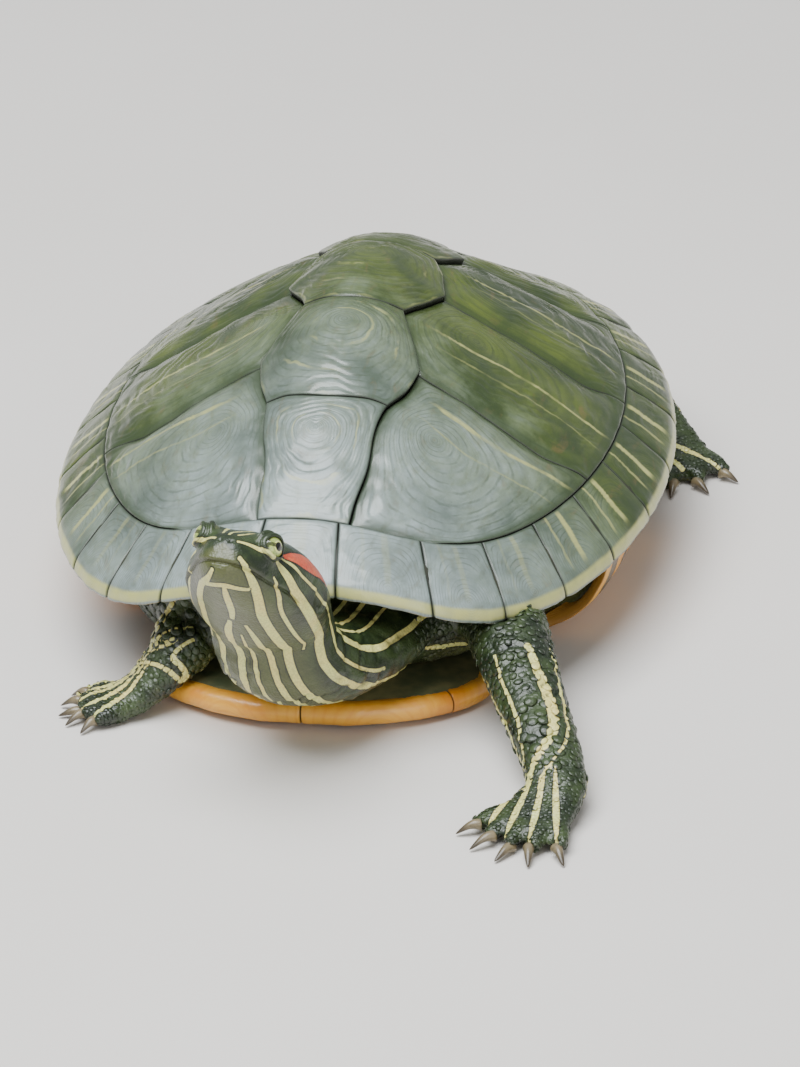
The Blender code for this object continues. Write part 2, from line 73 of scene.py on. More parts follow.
def ramp(low: float, high: float, value: Array) -> Array:
    """Return 0 below low, 1 above high and a straight rise between."""
    return np.clip((np.asarray(value, float) - low) / (high - low), 0.0, 1.0)


def ease(low: float, high: float, value: Array) -> Array:
    """Return 0 below low, 1 above high and a smooth step between."""
    share = ramp(low, high, value)
    return share * share * (3 - 2 * share)


def blend(a: Array, b: Array, share: Array) -> Array:
    """Return the mix of a and b, all a where share is 0."""
    return a + (b - a) * share


def hump(value: Array, middle: float, width: float) -> Array:
    """Return 1 at the middle, falling off smoothly on both sides."""
    return np.exp(-(((value - middle) / width) ** 2))


def unit(rows: Array) -> Array:
    """Return rows of x, y, z at a length of one."""
    return rows / np.maximum(np.linalg.norm(rows, axis=-1), TINY)[..., None]


def walk(places: Array) -> Array:
    """Return how far each of a run of places is along it."""
    return np.concatenate([[0.0], np.cumsum(np.linalg.norm(np.diff(places, axis=0), axis=1))])


def along_run(where: Array, walked: Array, places: Array) -> Array:
    """Return the places in plan at distances along a run of places."""
    return np.stack([np.interp(where, walked, places[:, axis]) for axis in (0, 1)], axis=-1)


def rounded(places: Array, rounds: int) -> Array:
    """Return a run of places with its corners rounded, which keeps its ends."""
    for _ in range(rounds):
        places[1:-1] = (places[:-2] + 2 * places[1:-1] + places[2:]) / 4
    return places


def search_tree(rows: Array) -> KDTree:
    """Return a search tree over places."""
    tree = KDTree(len(rows))
    for index, place in enumerate(rows.tolist()):
        tree.insert(place, index)
    tree.balance()
    return tree


def through(places: Sequence[float], values: Sequence, where: Array) -> Array:
    """Read a smooth curve through stations.

    Args:
        places: Where each station is, in rising order.
        values: The number or vector at each station.
        where: The places to read.

    Returns:
        The curve's values, one for each place read.
    """
    places = np.asarray(places, float)
    values = np.asarray(values, float)
    where = np.clip(np.asarray(where, float), places[0], places[-1])
    slopes = np.gradient(values, places, axis=0)
    i = np.clip(np.searchsorted(places, where, side="right") - 1, 0, len(places) - 2)
    span = places[i + 1] - places[i]
    t = (where - places[i]) / span
    if values.ndim > 1:
        span = span[..., None]
        t = t[..., None]
    start = (2 * t**3 - 3 * t**2 + 1) * values[i] + (t**3 - 2 * t**2 + t) * span * slopes[i]
    end = (3 * t**2 - 2 * t**3) * values[i + 1] + (t**3 - t**2) * span * slopes[i + 1]
    return start + end


def ripple(points: Array, wavelength: float, seed: int, waves: int = 14) -> Array:
    """Return a smooth random field of about unit size.

    Args:
        points: The places, as rows of x, y, z.
        wavelength: The size of its bumps, in metres.
        seed: Which field it is.
        waves: How many plane waves are summed.

    Returns:
        The field's value at each place.
    """
    source = np.random.default_rng(seed)
    ways = unit(source.normal(size=(waves, 3)))
    pace = 2 * math.pi / wavelength * source.uniform(0.7, 1.35, waves)
    phase = source.uniform(0, 2 * math.pi, waves)
    total = np.zeros(points.shape[:-1])
    for way, speed, start in zip(ways, pace, phase):
        total += np.sin(points @ (way * speed) + start)
    return total * math.sqrt(2 / waves)


def fetched(items: bpy.types.bpy_prop_collection, name: str, width: int, kind: type = np.float32) -> Array:
    """Return what each item of a mesh has under a name, as rows of so many numbers."""
    rows = np.empty(len(items) * width, kind)
    items.foreach_get(name, rows)
    return rows.reshape(-1, width)


def to_rows(mesh: Mesh) -> Array:
    """Return a mesh's vertex places as rows of x, y, z."""
    return fetched(mesh.vertices, "co", 3).astype(float)


def from_rows(mesh: Mesh, rows: Array) -> None:
    """Move a mesh's vertices to rows of x, y, z."""
    mesh.vertices.foreach_set("co", np.ascontiguousarray(rows, np.float32).ravel())
    mesh.update()


def normals_of(mesh: Mesh) -> Array:
    """Return a mesh's vertex normals as rows."""
    return fetched(mesh.vertex_normals, "vector", 3).astype(float)


def store(mesh: Mesh, name: str, values: Array) -> None:
    """Keep one number, or one vector, for each vertex under a name that a material can read."""
    if values.ndim == 1:
        layer = mesh.attributes.new(name, "FLOAT", "POINT")
        layer.data.foreach_set("value", np.ascontiguousarray(values, np.float32))
        return
    layer = mesh.attributes.new(name, "FLOAT_VECTOR", "POINT")
    layer.data.foreach_set("vector", np.ascontiguousarray(values, np.float32).ravel())


@contextmanager
def opened(data: Mesh) -> Iterator[bmesh.types.BMesh]:
    """Open a mesh to bmesh operators, and keep what they make of it."""
    mesh = bmesh.new()
    mesh.from_mesh(data)
    yield mesh
    mesh.to_mesh(data)
    mesh.free()


def new_piece(name: str, mesh: bmesh.types.BMesh | Mesh) -> Piece:
    """Link a mesh to the scene as an object at the origin, shaded smooth."""
    data = mesh
    if isinstance(mesh, bmesh.types.BMesh):
        data = bpy.data.meshes.new(name)
        mesh.to_mesh(data)
        mesh.free()
    data.name = name
    data.shade_smooth()
    made = bpy.data.objects.new(name, data)
    bpy.context.scene.collection.objects.link(made)
    return made


def triangle_count(piece: Piece) -> int:
    """Return how many triangles a piece's mesh has."""
    return sum(len(face.vertices) - 2 for face in piece.data.polygons)


SIDES = {1: "left", -1: "right"}  # the sign of x and its name
FLESH = ("trunk", "neck", "head", "lower_jaw", "tail") + tuple(
    f"{part}_{side}" for part in ("foreleg", "hindleg", "forefoot", "hindfoot") for side in SIDES.values()
)


# Shader building


class Socket:
    """An output of a node. Arithmetic on it adds Math nodes to the same tree."""

    def __init__(self, tree: bpy.types.NodeTree, output: bpy.types.NodeSocket) -> None:
        """Wrap an output of a node in tree."""
        self.tree = tree
        self.output = output

    def _math(self, operation: str, *values: "Socket | float", clamp: bool = False) -> "Socket":
        """Add a Math node and return its output."""
        node = self.tree.nodes.new("ShaderNodeMath")
        node.operation = operation
        node.use_clamp = clamp
        for place, value in zip(node.inputs, values):
            plug(place, value)
        return Socket(self.tree, node.outputs[0])

    def __add__(self, other: "Socket | float") -> "Socket":
        """Return the sum."""
        return self._math("ADD", self, other)

    def __sub__(self, other: "Socket | float") -> "Socket":
        """Return the difference."""
        return self._math("SUBTRACT", self, other)

    def __rsub__(self, other: float) -> "Socket":
        """Return a number less this value."""
        return self._math("SUBTRACT", other, self)

    def __mul__(self, other: "Socket | float") -> "Socket":
        """Return the product."""
        return self._math("MULTIPLY", self, other)

    def __truediv__(self, other: "Socket | float") -> "Socket":
        """Return the quotient."""
        return self._math("DIVIDE", self, other)

    def __pow__(self, other: "Socket | float") -> "Socket":
        """Return the power."""
        return self._math("POWER", self, other)

    __radd__ = __add__
    __rmul__ = __mul__

    def absolute(self) -> "Socket":
        """Return the value without its sign."""
        return self._math("ABSOLUTE", self)

    def sine(self) -> "Socket":
        """Return the sine of an angle in radians."""
        return self._math("SINE", self)

    def most(self, other: "Socket | float") -> "Socket":
        """Return the larger of two values."""
        return self._math("MAXIMUM", self, other)

    def held(self) -> "Socket":
        """Return the value kept between 0 and 1."""
        return self._math("ADD", self, 0.0, clamp=True)

    def step(self, low: float, high: float) -> "Socket":
        """Return 0 below low, 1 above high and a smooth step between; low may be the larger."""
        flipped = low > high
        node = self.tree.nodes.new("ShaderNodeMapRange")
        node.interpolation_type = "SMOOTHSTEP"
        values = (min(low, high), max(low, high), float(flipped), float(not flipped))
        for place, value in zip(node.inputs[1:5], values):
            place.default_value = value
        self.tree.links.new(self.output, node.inputs[0])
        return Socket(self.tree, node.outputs[0])


def plug(place: bpy.types.NodeSocket, value: Socket | float | tuple) -> None:
    """Link a value to an input of a node, or set the input to a constant."""
    if isinstance(value, Socket):
        value.tree.links.new(value.output, place)
    else:
        place.default_value = value


class Finish:
    """One material under construction: a Principled shader and the nodes that feed it."""

    def __init__(self, name: str, **constants: float) -> None:
        """Start a material.

        Args:
            name: The material's name.
            constants: Values of the shader's sockets that are the same all over.
        """
        self.material = bpy.data.materials.new(name)
        self.material.use_nodes = True
        self.tree = self.material.node_tree
        self.shader = self.tree.nodes["Principled BSDF"]
        self.ground: Socket | None = None  # the colour so far
        for socket, value in constants.items():
            self.shader.inputs[socket.replace("_", " ").title().replace("Ior", "IOR")].default_value = value

    def node(
        self, kind: str, settings: dict | None = None, inputs: dict | None = None, output: int | str = 0
    ) -> Socket:
        """Add a node.

        Args:
            kind: The node's type, without its ShaderNode prefix.
            settings: Its properties, set before its sockets.
            inputs: The values or links of its sockets, by name or number.
            output: Which output to return.

        Returns:
            That output.
        """
        made = self.tree.nodes.new("ShaderNode" + kind)
        for name, value in (settings or {}).items():
            setattr(made, name, value)
        for name, value in (inputs or {}).items():
            plug(made.inputs[name], value)
        return Socket(self.tree, made.outputs[output])

    def place(self) -> Socket:
        """Return the place on the object, in metres."""
        return self.node("TexCoord", output="Object")

    def kept(self, name: str) -> Socket:
        """Return the number that the mesh keeps under a name for each vertex."""
        return self.node("Attribute", {"attribute_name": name}, output="Fac")

    def kept_parts(self, name: str) -> tuple[Socket, Socket, Socket]:
        """Return the three numbers that the mesh keeps under a name for each vertex."""
        return self.parts(self.node("Attribute", {"attribute_name": name}, output="Vector"))

    def parts(self, vector: Socket) -> tuple[Socket, Socket, Socket]:
        """Return a vector's three numbers."""
        node = self.tree.nodes.new("ShaderNodeSeparateXYZ")
        self.tree.links.new(vector.output, node.inputs[0])
        return tuple(Socket(self.tree, out) for out in node.outputs)

    def joined(self, x: Socket, y: Socket, z: Socket) -> Socket:
        """Return a vector made of three numbers."""
        return self.node("CombineXYZ", inputs={0: x, 1: y, 2: z})

    def stretched(self, vector: Socket, scale: tuple[float, float, float]) -> Socket:
        """Return a vector scaled along each axis."""
        return self.node("Mapping", inputs={"Vector": vector, "Scale": scale})

    def noise(
        self, vector: Socket, scale: float, detail: float = 3.0, rough: float = 0.5, twist: float = 0.0
    ) -> Socket:
        """Return a cloudy noise between 0 and 1."""
        inputs = {"Vector": vector, "Scale": scale, "Detail": detail, "Roughness": rough, "Distortion": twist}
        return self.node("TexNoise", inputs=inputs)

    def cells(self, vector: Socket, scale: float) -> Socket:
        """Return the distance to the nearest centre in a pattern of cells."""
        return self.node("TexVoronoi", inputs={"Vector": vector, "Scale": scale}, output="Distance")

    def colour(self, share: Socket | float, a: "Socket | tuple", b: "Socket | tuple") -> Socket:
        """Return the mix of two colours, all a where share is 0."""
        a, b = [(*value, 1.0) if isinstance(value, tuple) else value for value in (a, b)]
        return self.node("Mix", {"data_type": "RGBA"}, {"Factor": share, 6: a, 7: b}, 2)

    def coat(self, share: Socket, colour: Socket | tuple) -> None:
        """Lay a colour over the ground colour, all of it where share is 1."""
        self.ground = self.colour(share, self.ground, colour)

    def bump(self, height: Socket, distance: float, strength: float, under: Socket | None = None) -> Socket:
        """Return the normals of a height, given in units of distance, on top of another bump."""
        inputs = {"Height": height, "Distance": distance, "Strength": strength}
        if under is not None:
            inputs["Normal"] = under
        return self.node("Bump", inputs=inputs)

    def made(self, **sockets: Socket) -> bpy.types.Material:
        """Finish the material.

        Args:
            sockets: What else than the ground colour varies, by the shader's sockets, with underscores.

        Returns:
            The material.
        """
        for name, value in {"base_color": self.ground, **sockets}.items():
            plug(self.shader.inputs[name.replace("_", " ").title()], value)
        return self.material


# The shell


@dataclass(frozen=True)
class ShellForm:
    """The shell's outline in plan and its dome, as the solid has them.

    An angle phi is 0 at the front, pi at the rear and negative on the turtle's right. A radius is 0 at
    the crown and 1 at the edge.
    """

    length: float
    width: float
    dome: float
    blunt_front: float = 0.70
    blunt_rear: float = 0.745
    rear_spread: float = 0.028
    rim: float = 0.0325
    rim_lift_front: float = 0.0158
    rim_lift_arc: float = 0.40
    rim_lift_rear: float = 0.0020
    power_side: float = 1.685
    power_front: float = 2.02
    power_rear: float = 2.01
    keel: float = 0.0075
    keel_half_width: float = 0.022
    flare: float = 0.0022
    rear_flare: float = 0.0059
    serration: float = 0.011
    notches: tuple = (math.radians(118), math.radians(150))  # the rear edge is notched from here on
    marginals: int = 12
    thickness: float = 0.0065
    HALVINGS = 36

    @classmethod
    def from_frame(cls) -> "ShellForm":
        """Return the form whose sizes are those of the carapace's solid."""
        low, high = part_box("carapace")
        plain = cls(length=1.0, width=1.0, dome=1.0)
        widest = 2 * plain.plan(1.0, np.linspace(0, math.pi, 721))[..., 0].max()
        return cls(length=-2 * low.y, width=(high.x - low.x) / widest, dome=high.z - cls.keel)

    def plan(self, radius: Array, phi: Array) -> Array:
        """Give places in plan.

        Args:
            radius: The radius of each place.
            phi: Its angle.

        Returns:
            The places as x and y.
        """
        side, ahead = np.sin(phi), np.cos(phi)
        blunt = blend(self.blunt_front, self.blunt_rear, (1 - ahead) / 2)
        x = self.width / 2 * np.sign(side) * np.abs(side) ** blunt * (1 - self.rear_spread * ahead)
        y = -self.length / 2 * ahead
        notch = np.abs(np.cos(phi * self.marginals)) ** 6
        bite = 1 - self.serration * notch * ease(*self.notches, np.abs(phi))
        return np.stack([x * bite, y * bite], axis=-1) * np.asarray(radius)[..., None]

    def point(self, radius: Array, phi: Array, drop: Array = 0.0) -> Array:
        """Give places on the dome.

        Args:
            radius: The radius of each place.
            phi: Its angle.
            drop: How far it is lowered.

        Returns:
            The places as x, y and z.
        """
        radius, phi = np.broadcast_arrays(np.asarray(radius, float), np.asarray(phi, float))
        plan = self.plan(radius, phi)
        rear_share = ((1 - np.cos(phi)) / 2) ** 2
        rim = self.rim + self.rim_lift_front * hump(phi, 0, self.rim_lift_arc)
        rim = rim + self.rim_lift_rear * rear_share
        front = np.maximum(0.0, np.cos(phi)) ** 2
        rear = np.maximum(0.0, -np.cos(phi)) ** 2
        power = self.power_side * (1 - front - rear) + self.power_front * front + self.power_rear * rear
        z = rim + (self.dome - rim) * (1 - radius**power)
        z = z + self.flare * ease(0.82, 1.0, radius) * (1 - 0.6 * np.sin(phi) ** 2)
        z = z + self.rear_flare * ease(0.6, 1.0, radius) * rear
        z = z + self.keel * hump(plan[..., 0], 0, self.keel_half_width) * (1 - radius**2)
        return np.concatenate([plan, (z - drop)[..., None]], axis=-1)

    def polar(self, x: Array, y: Array) -> tuple[Array, Array]:
        """Find the radius and the angle of places in plan by halving the range of angles.

        Args:
            x: Places across.
            y: Places along.

        Returns:
            The radii and the angles.
        """
        low = np.zeros(np.shape(x))
        high = np.full(np.shape(x), math.pi)
        for _ in range(self.HALVINGS):
            phi = (low + high) / 2
            edge = self.plan(1.0, phi)
            ahead = edge[..., 0] * y - edge[..., 1] * np.abs(x) > 0
            low = np.where(ahead, phi, low)
            high = np.where(ahead, high, phi)
        edge = self.plan(1.0, phi)
        radius = np.hypot(x, y) / np.hypot(edge[..., 0], edge[..., 1])
        return radius, phi * np.where(x < 0, -1.0, 1.0)

    def over(self, plan: Array) -> Array:
        """Return the places on the dome over places in plan."""
        return self.point(*self.polar(plan[..., 0], plan[..., 1]))


@dataclass(frozen=True)
class Relief:
    """How a horn plate is shaped over the surface it lies on. Lengths are in metres."""

    lip: float = 0.0011  # width of the rounded edge
    lip_drop: float = 0.0007
    swell: float = 0.0007  # how much the middle stands over the edges
    swell_reach: float = 0.012
    ring: float = 0.00010  # depth of a growth groove
    rings: float = 8.0
    wrinkle: float = 0.00007
    skirt: float = 0.0046  # depth of the plate's wall
    areola: tuple[float, float] = (0.5, 0.6)  # the oldest part, in shares of the plate
    level_end: bool = False  # the far edge across is not lowered


class PlateSheet:
    """Several closed plates of one grid size, side by side in one mesh, ready to be laid on a shape."""

    STRIDE = 4.0  # from one blank to the next
    EDGE = (0.0, 0.00014, 0.00034, 0.00064, 0.0011)  # how far in from an edge the first grid lines are
    GAP = 0.00012  # half the width of the gap between plates
    SOFT = 0.0008  # rounds the corners of the fields that follow the edges
    RIM = 0.0015  # the fine relief fades out over this much of the edge

    def __init__(self, name: str, across: int, along: int, relief: Relief) -> None:
        """Start a sheet.

        Args:
            name: The piece's name.
            across: Grid steps along a plate's first direction.
            along: Grid steps along its second.
            relief: The plates' shape.
        """
        self.name = name
        self.across = across
        self.along = along
        self.relief = relief
        self.plates: list[Array] = []

    def shares(self, steps: int, span: float) -> Array:
        """Return grid places from 0 to 1, close together at both ends so that the rounded edge is round."""
        edge = np.array(self.EDGE) / span
        middle = np.linspace(edge[-1], 1 - edge[-1], steps + 3 - 2 * len(edge))
        return np.concatenate([edge[:-1], middle, 1 - edge[-2::-1]])

    def add(self, surface: Surface, span: tuple[float, float]) -> None:
        """Add a plate.

        Args:
            surface: Gives places for shares across and along the plate.
            span: The plate's rough size, in metres.
        """
        u, v = np.meshgrid(self.shares(self.across, span[0]), self.shares(self.along, span[1]), indexing="ij")
        self.plates.append(surface(u, v))

    def build(self) -> Piece:
        """Return the piece: every plate with its relief, its wall and its underside."""
        mesh = bmesh.new()
        for index in range(len(self.plates)):
            at = Matrix.Translation((index * self.STRIDE, 0, 0))
            bmesh.ops.create_grid(mesh, x_segments=self.across, y_segments=self.along, size=1.0, matrix=at)
        rims = [e for e in mesh.edges if e.is_boundary]
        walls = bmesh.ops.extrude_edge_only(mesh, edges=rims)["geom"]
        lowered = [v for v in walls if isinstance(v, bmesh.types.BMVert)]
        bmesh.ops.translate(mesh, verts=lowered, vec=(0, 0, -1))
        floors = bmesh.ops.holes_fill(mesh, edges=[e for e in mesh.edges if e.is_boundary], sides=0)["faces"]
        poles = bmesh.ops.poke(mesh, faces=floors)["verts"]
        bmesh.ops.translate(mesh, verts=poles, vec=(0, 0, -1))
        data = bpy.data.meshes.new(self.name)
        mesh.to_mesh(data)
        mesh.free()
        self._lay(data)
        with opened(data) as mesh:
            bmesh.ops.recalc_face_normals(mesh, faces=mesh.faces)
        return new_piece(self.name, data)

    def _lay(self, data: Mesh) -> None:
        """Lay each plate of the flat sheet on its surface, and keep what the materials read."""
        rows = to_rows(data)
        index = np.round(rows[:, 0] / self.STRIDE).astype(int)
        u = (rows[:, 0] - index * self.STRIDE + 1) / 2
        v = (rows[:, 1] + 1) / 2
        i = np.round(u * self.across).astype(int)
        j = np.round(v * self.along).astype(int)
        wall = np.round(-rows[:, 2]).astype(int)
        placed = np.empty_like(rows)
        edge = np.zeros(len(rows))
        grown = np.zeros(len(rows))
        lie = np.zeros((len(rows), 3))
        for number, grid in enumerate(self.plates):
            mine = index == number
            top, bottom, away, growth = self._shape(grid, number)
            a, b = i[mine], j[mine]
            placed[mine] = np.where((wall[mine] == 0)[:, None], top[a, b], bottom[a, b])
            poles = mine & (wall == 2)
            centre = bottom[self.across // 2, self.along // 2]
            placed[poles] = centre
            edge[mine] = away[a, b]
            grown[mine] = growth[a, b]
            lie[mine] = np.stack([u[mine], v[mine], np.full(mine.sum(), float(number))], axis=-1)
        edge[wall > 0] = 0.0
        from_rows(data, placed)
        store(data, "edge", edge / MM)
        store(data, "growth", grown)
        store(data, "plate", lie)

    def _shape(self, grid: Array, number: int) -> tuple[Array, Array, Array, Array]:
        """Shape one plate.

        Args:
            grid: The places of its grid on the surface that it lies on.
            number: Its number in the sheet, which picks its random fields.

        Returns:
            The places of its top and of its underside, the distance to its edge, and its growth, which is
            0 at the oldest part and 1 at the edge.
        """
        relief = self.relief
        across = np.linalg.norm(np.diff(grid, axis=0), axis=-1)
        along = np.linalg.norm(np.diff(grid, axis=1), axis=-1)
        walked_u = np.concatenate([np.zeros((1, grid.shape[1])), np.cumsum(across, axis=0)])
        walked_v = np.concatenate([np.zeros((grid.shape[0], 1)), np.cumsum(along, axis=1)], axis=1)
        sides = [walked_u, walked_u[-1:] - walked_u, walked_v, walked_v[:, -1:] - walked_v]
        away = np.minimum.reduce(sides)
        way_u, way_v = np.gradient(grid, axis=0), np.gradient(grid, axis=1)
        normal = np.cross(way_u, way_v)
        normal /= np.linalg.norm(normal, axis=-1)[..., None] + 1e-12
        middle = normal[grid.shape[0] // 2, grid.shape[1] // 2]
        normal *= self._outward(grid, middle)
        oldest = grid[int(relief.areola[0] * self.across), int(relief.areola[1] * self.along)]
        reach = np.linalg.norm(grid - oldest, axis=-1)
        growth = reach / (reach + self._soft_least(sides) + 1e-6)
        height = -relief.lip_drop * (1 - np.sqrt(1 - (1 - np.clip(away / relief.lip, 0, 1)) ** 2))
        lowered = sides[:1] + sides[2:] if relief.level_end else sides
        valley = self._soft_least(lowered)
        near_end = ease(0.002, 0.016, sides[1]) if relief.level_end else 1.0
        height -= relief.swell * near_end * (1 - np.clip(valley / relief.swell_reach, 0, 1)) ** 2
        wander = ripple(grid, 0.020, 11 + number) * 0.30 + ripple(grid, 0.007, 31 + number) * 0.10
        turn = (growth * relief.rings + wander) % 1.0
        groove = hump(turn, 0.5, 0.20) * ease(0.15, 0.45, growth)
        groove *= 0.65 + 0.35 * ripple(grid, 0.016, 51 + number)
        inside = ease(0.0, self.RIM, away)
        height -= relief.ring * groove * inside
        fine = np.sin((growth * relief.rings * 3.1 + wander * 2.6) * 2 * math.pi)
        height += relief.wrinkle * fine * (0.6 + 0.4 * ripple(grid, 0.012, 91 + number)) * inside
        height += relief.wrinkle * ripple(grid, 0.0090, 71 + number)
        inward = self._inward(grid) * self.GAP
        top = grid + normal * height[..., None] + inward
        return top, grid - normal * relief.skirt + inward, away, growth

    def _soft_least(self, sides: list[Array]) -> Array:
        """Return about the least of several distances, smooth where two are alike."""
        return sum((side + self.SOFT) ** -3.0 for side in sides) ** (-1 / 3)

    @staticmethod
    def _outward(grid: Array, middle: Array) -> float:
        """Return 1 where the grid's own normal points away from the shell's inside, or -1."""
        centre = grid[grid.shape[0] // 2, grid.shape[1] // 2]
        return 1.0 if np.dot(middle, centre - np.array([0, centre[1] * 0.6, 0.030])) > 0 else -1.0

    @staticmethod
    def _inward(grid: Array) -> Array:
        """Return unit steps into the plate along its four edges, and nothing elsewhere."""
        way = np.zeros_like(grid)
        for edge, inner in ((np.s_[0, :], np.s_[1, :]), (np.s_[-1, :], np.s_[-2, :])):
            way[edge] += grid[inner] - grid[edge]
        for edge, inner in ((np.s_[:, 0], np.s_[:, 1]), (np.s_[:, -1], np.s_[:, -2])):
            way[edge] += grid[inner] - grid[edge]
        return unit(way)


class Line:
    """A seam between plates in plan, read by the share of its length."""

    STEPS = 160

    def __init__(self, points: Iterable[Sequence[float]], rounds: int = 40) -> None:
        """Round the corners of a run of points a little, which keeps its ends."""
        points = np.asarray(list(points), float)
        walked = walk(points)
        even = np.linspace(0, walked[-1], self.STEPS + 1)
        self.places = rounded(along_run(even, walked, points), rounds)
        walked = walk(self.places)
        self.shares = walked / walked[-1]

    def at(self, share: Array) -> Array:
        """Return the places at shares of the seam's length."""
        return along_run(share, self.shares, self.places)


def patch(inner: Line, outer: Line, front: Line, rear: Line) -> Surface:
    """Return the surface in plan between four seams.

    Args:
        inner: From the front to the rear, where the share across is 0.
        outer: From the front to the rear, where the share across is 1.
        front: From the inner to the outer seam, where the share along is 0.
        rear: From the inner to the outer seam, where the share along is 1.

    Returns:
        A function of the shares across and along.
    """

    def surface(u: Array, v: Array) -> Array:
        """Return the place in plan."""
        a, b = u[..., None], v[..., None]
        ruled = (1 - a) * inner.at(v) + a * outer.at(v) + (1 - b) * front.at(u) + b * rear.at(u)
        corners = (1 - a) * (1 - b) * front.places[0] + a * (1 - b) * front.places[-1]
        corners = corners + (1 - a) * b * rear.places[0] + a * b * rear.places[-1]
        return ruled - corners

    return surface


def loft(rings: Array, start: Sequence[float], end: Sequence[float]) -> bmesh.types.BMesh:
    """Make one closed body through rings.

    Args:
        rings: Places, as ring, place round it, and x, y, z.
        start: The point that closes the first ring.
        end: The point that closes the last ring.

    Returns:
        The body, its faces outwards.
    """
    count, around = rings.shape[:2]
    mesh = bmesh.new()
    bmesh.ops.create_grid(mesh, x_segments=around, y_segments=count - 1, size=1.0)
    ring_of = {vert: round((vert.co.y + 1) / 2 * (count - 1)) for vert in mesh.verts}
    for vert, ring in ring_of.items():
        vert.co = rings[ring][round((vert.co.x + 1) / 2 * around) % around]
    rims = [[e for e in mesh.edges if {ring_of[v] for v in e.verts} == {ring}] for ring in (0, count - 1)]
    caps = [bmesh.ops.contextual_create(mesh, geom=rim)["faces"] for rim in rims]
    bmesh.ops.remove_doubles(mesh, verts=mesh.verts, dist=0.2e-6)
    for cap, pole in zip(caps, (start, end)):
        bmesh.ops.poke(mesh, faces=cap)["verts"][0].co = pole
    bmesh.ops.recalc_face_normals(mesh, faces=mesh.faces)
    return mesh


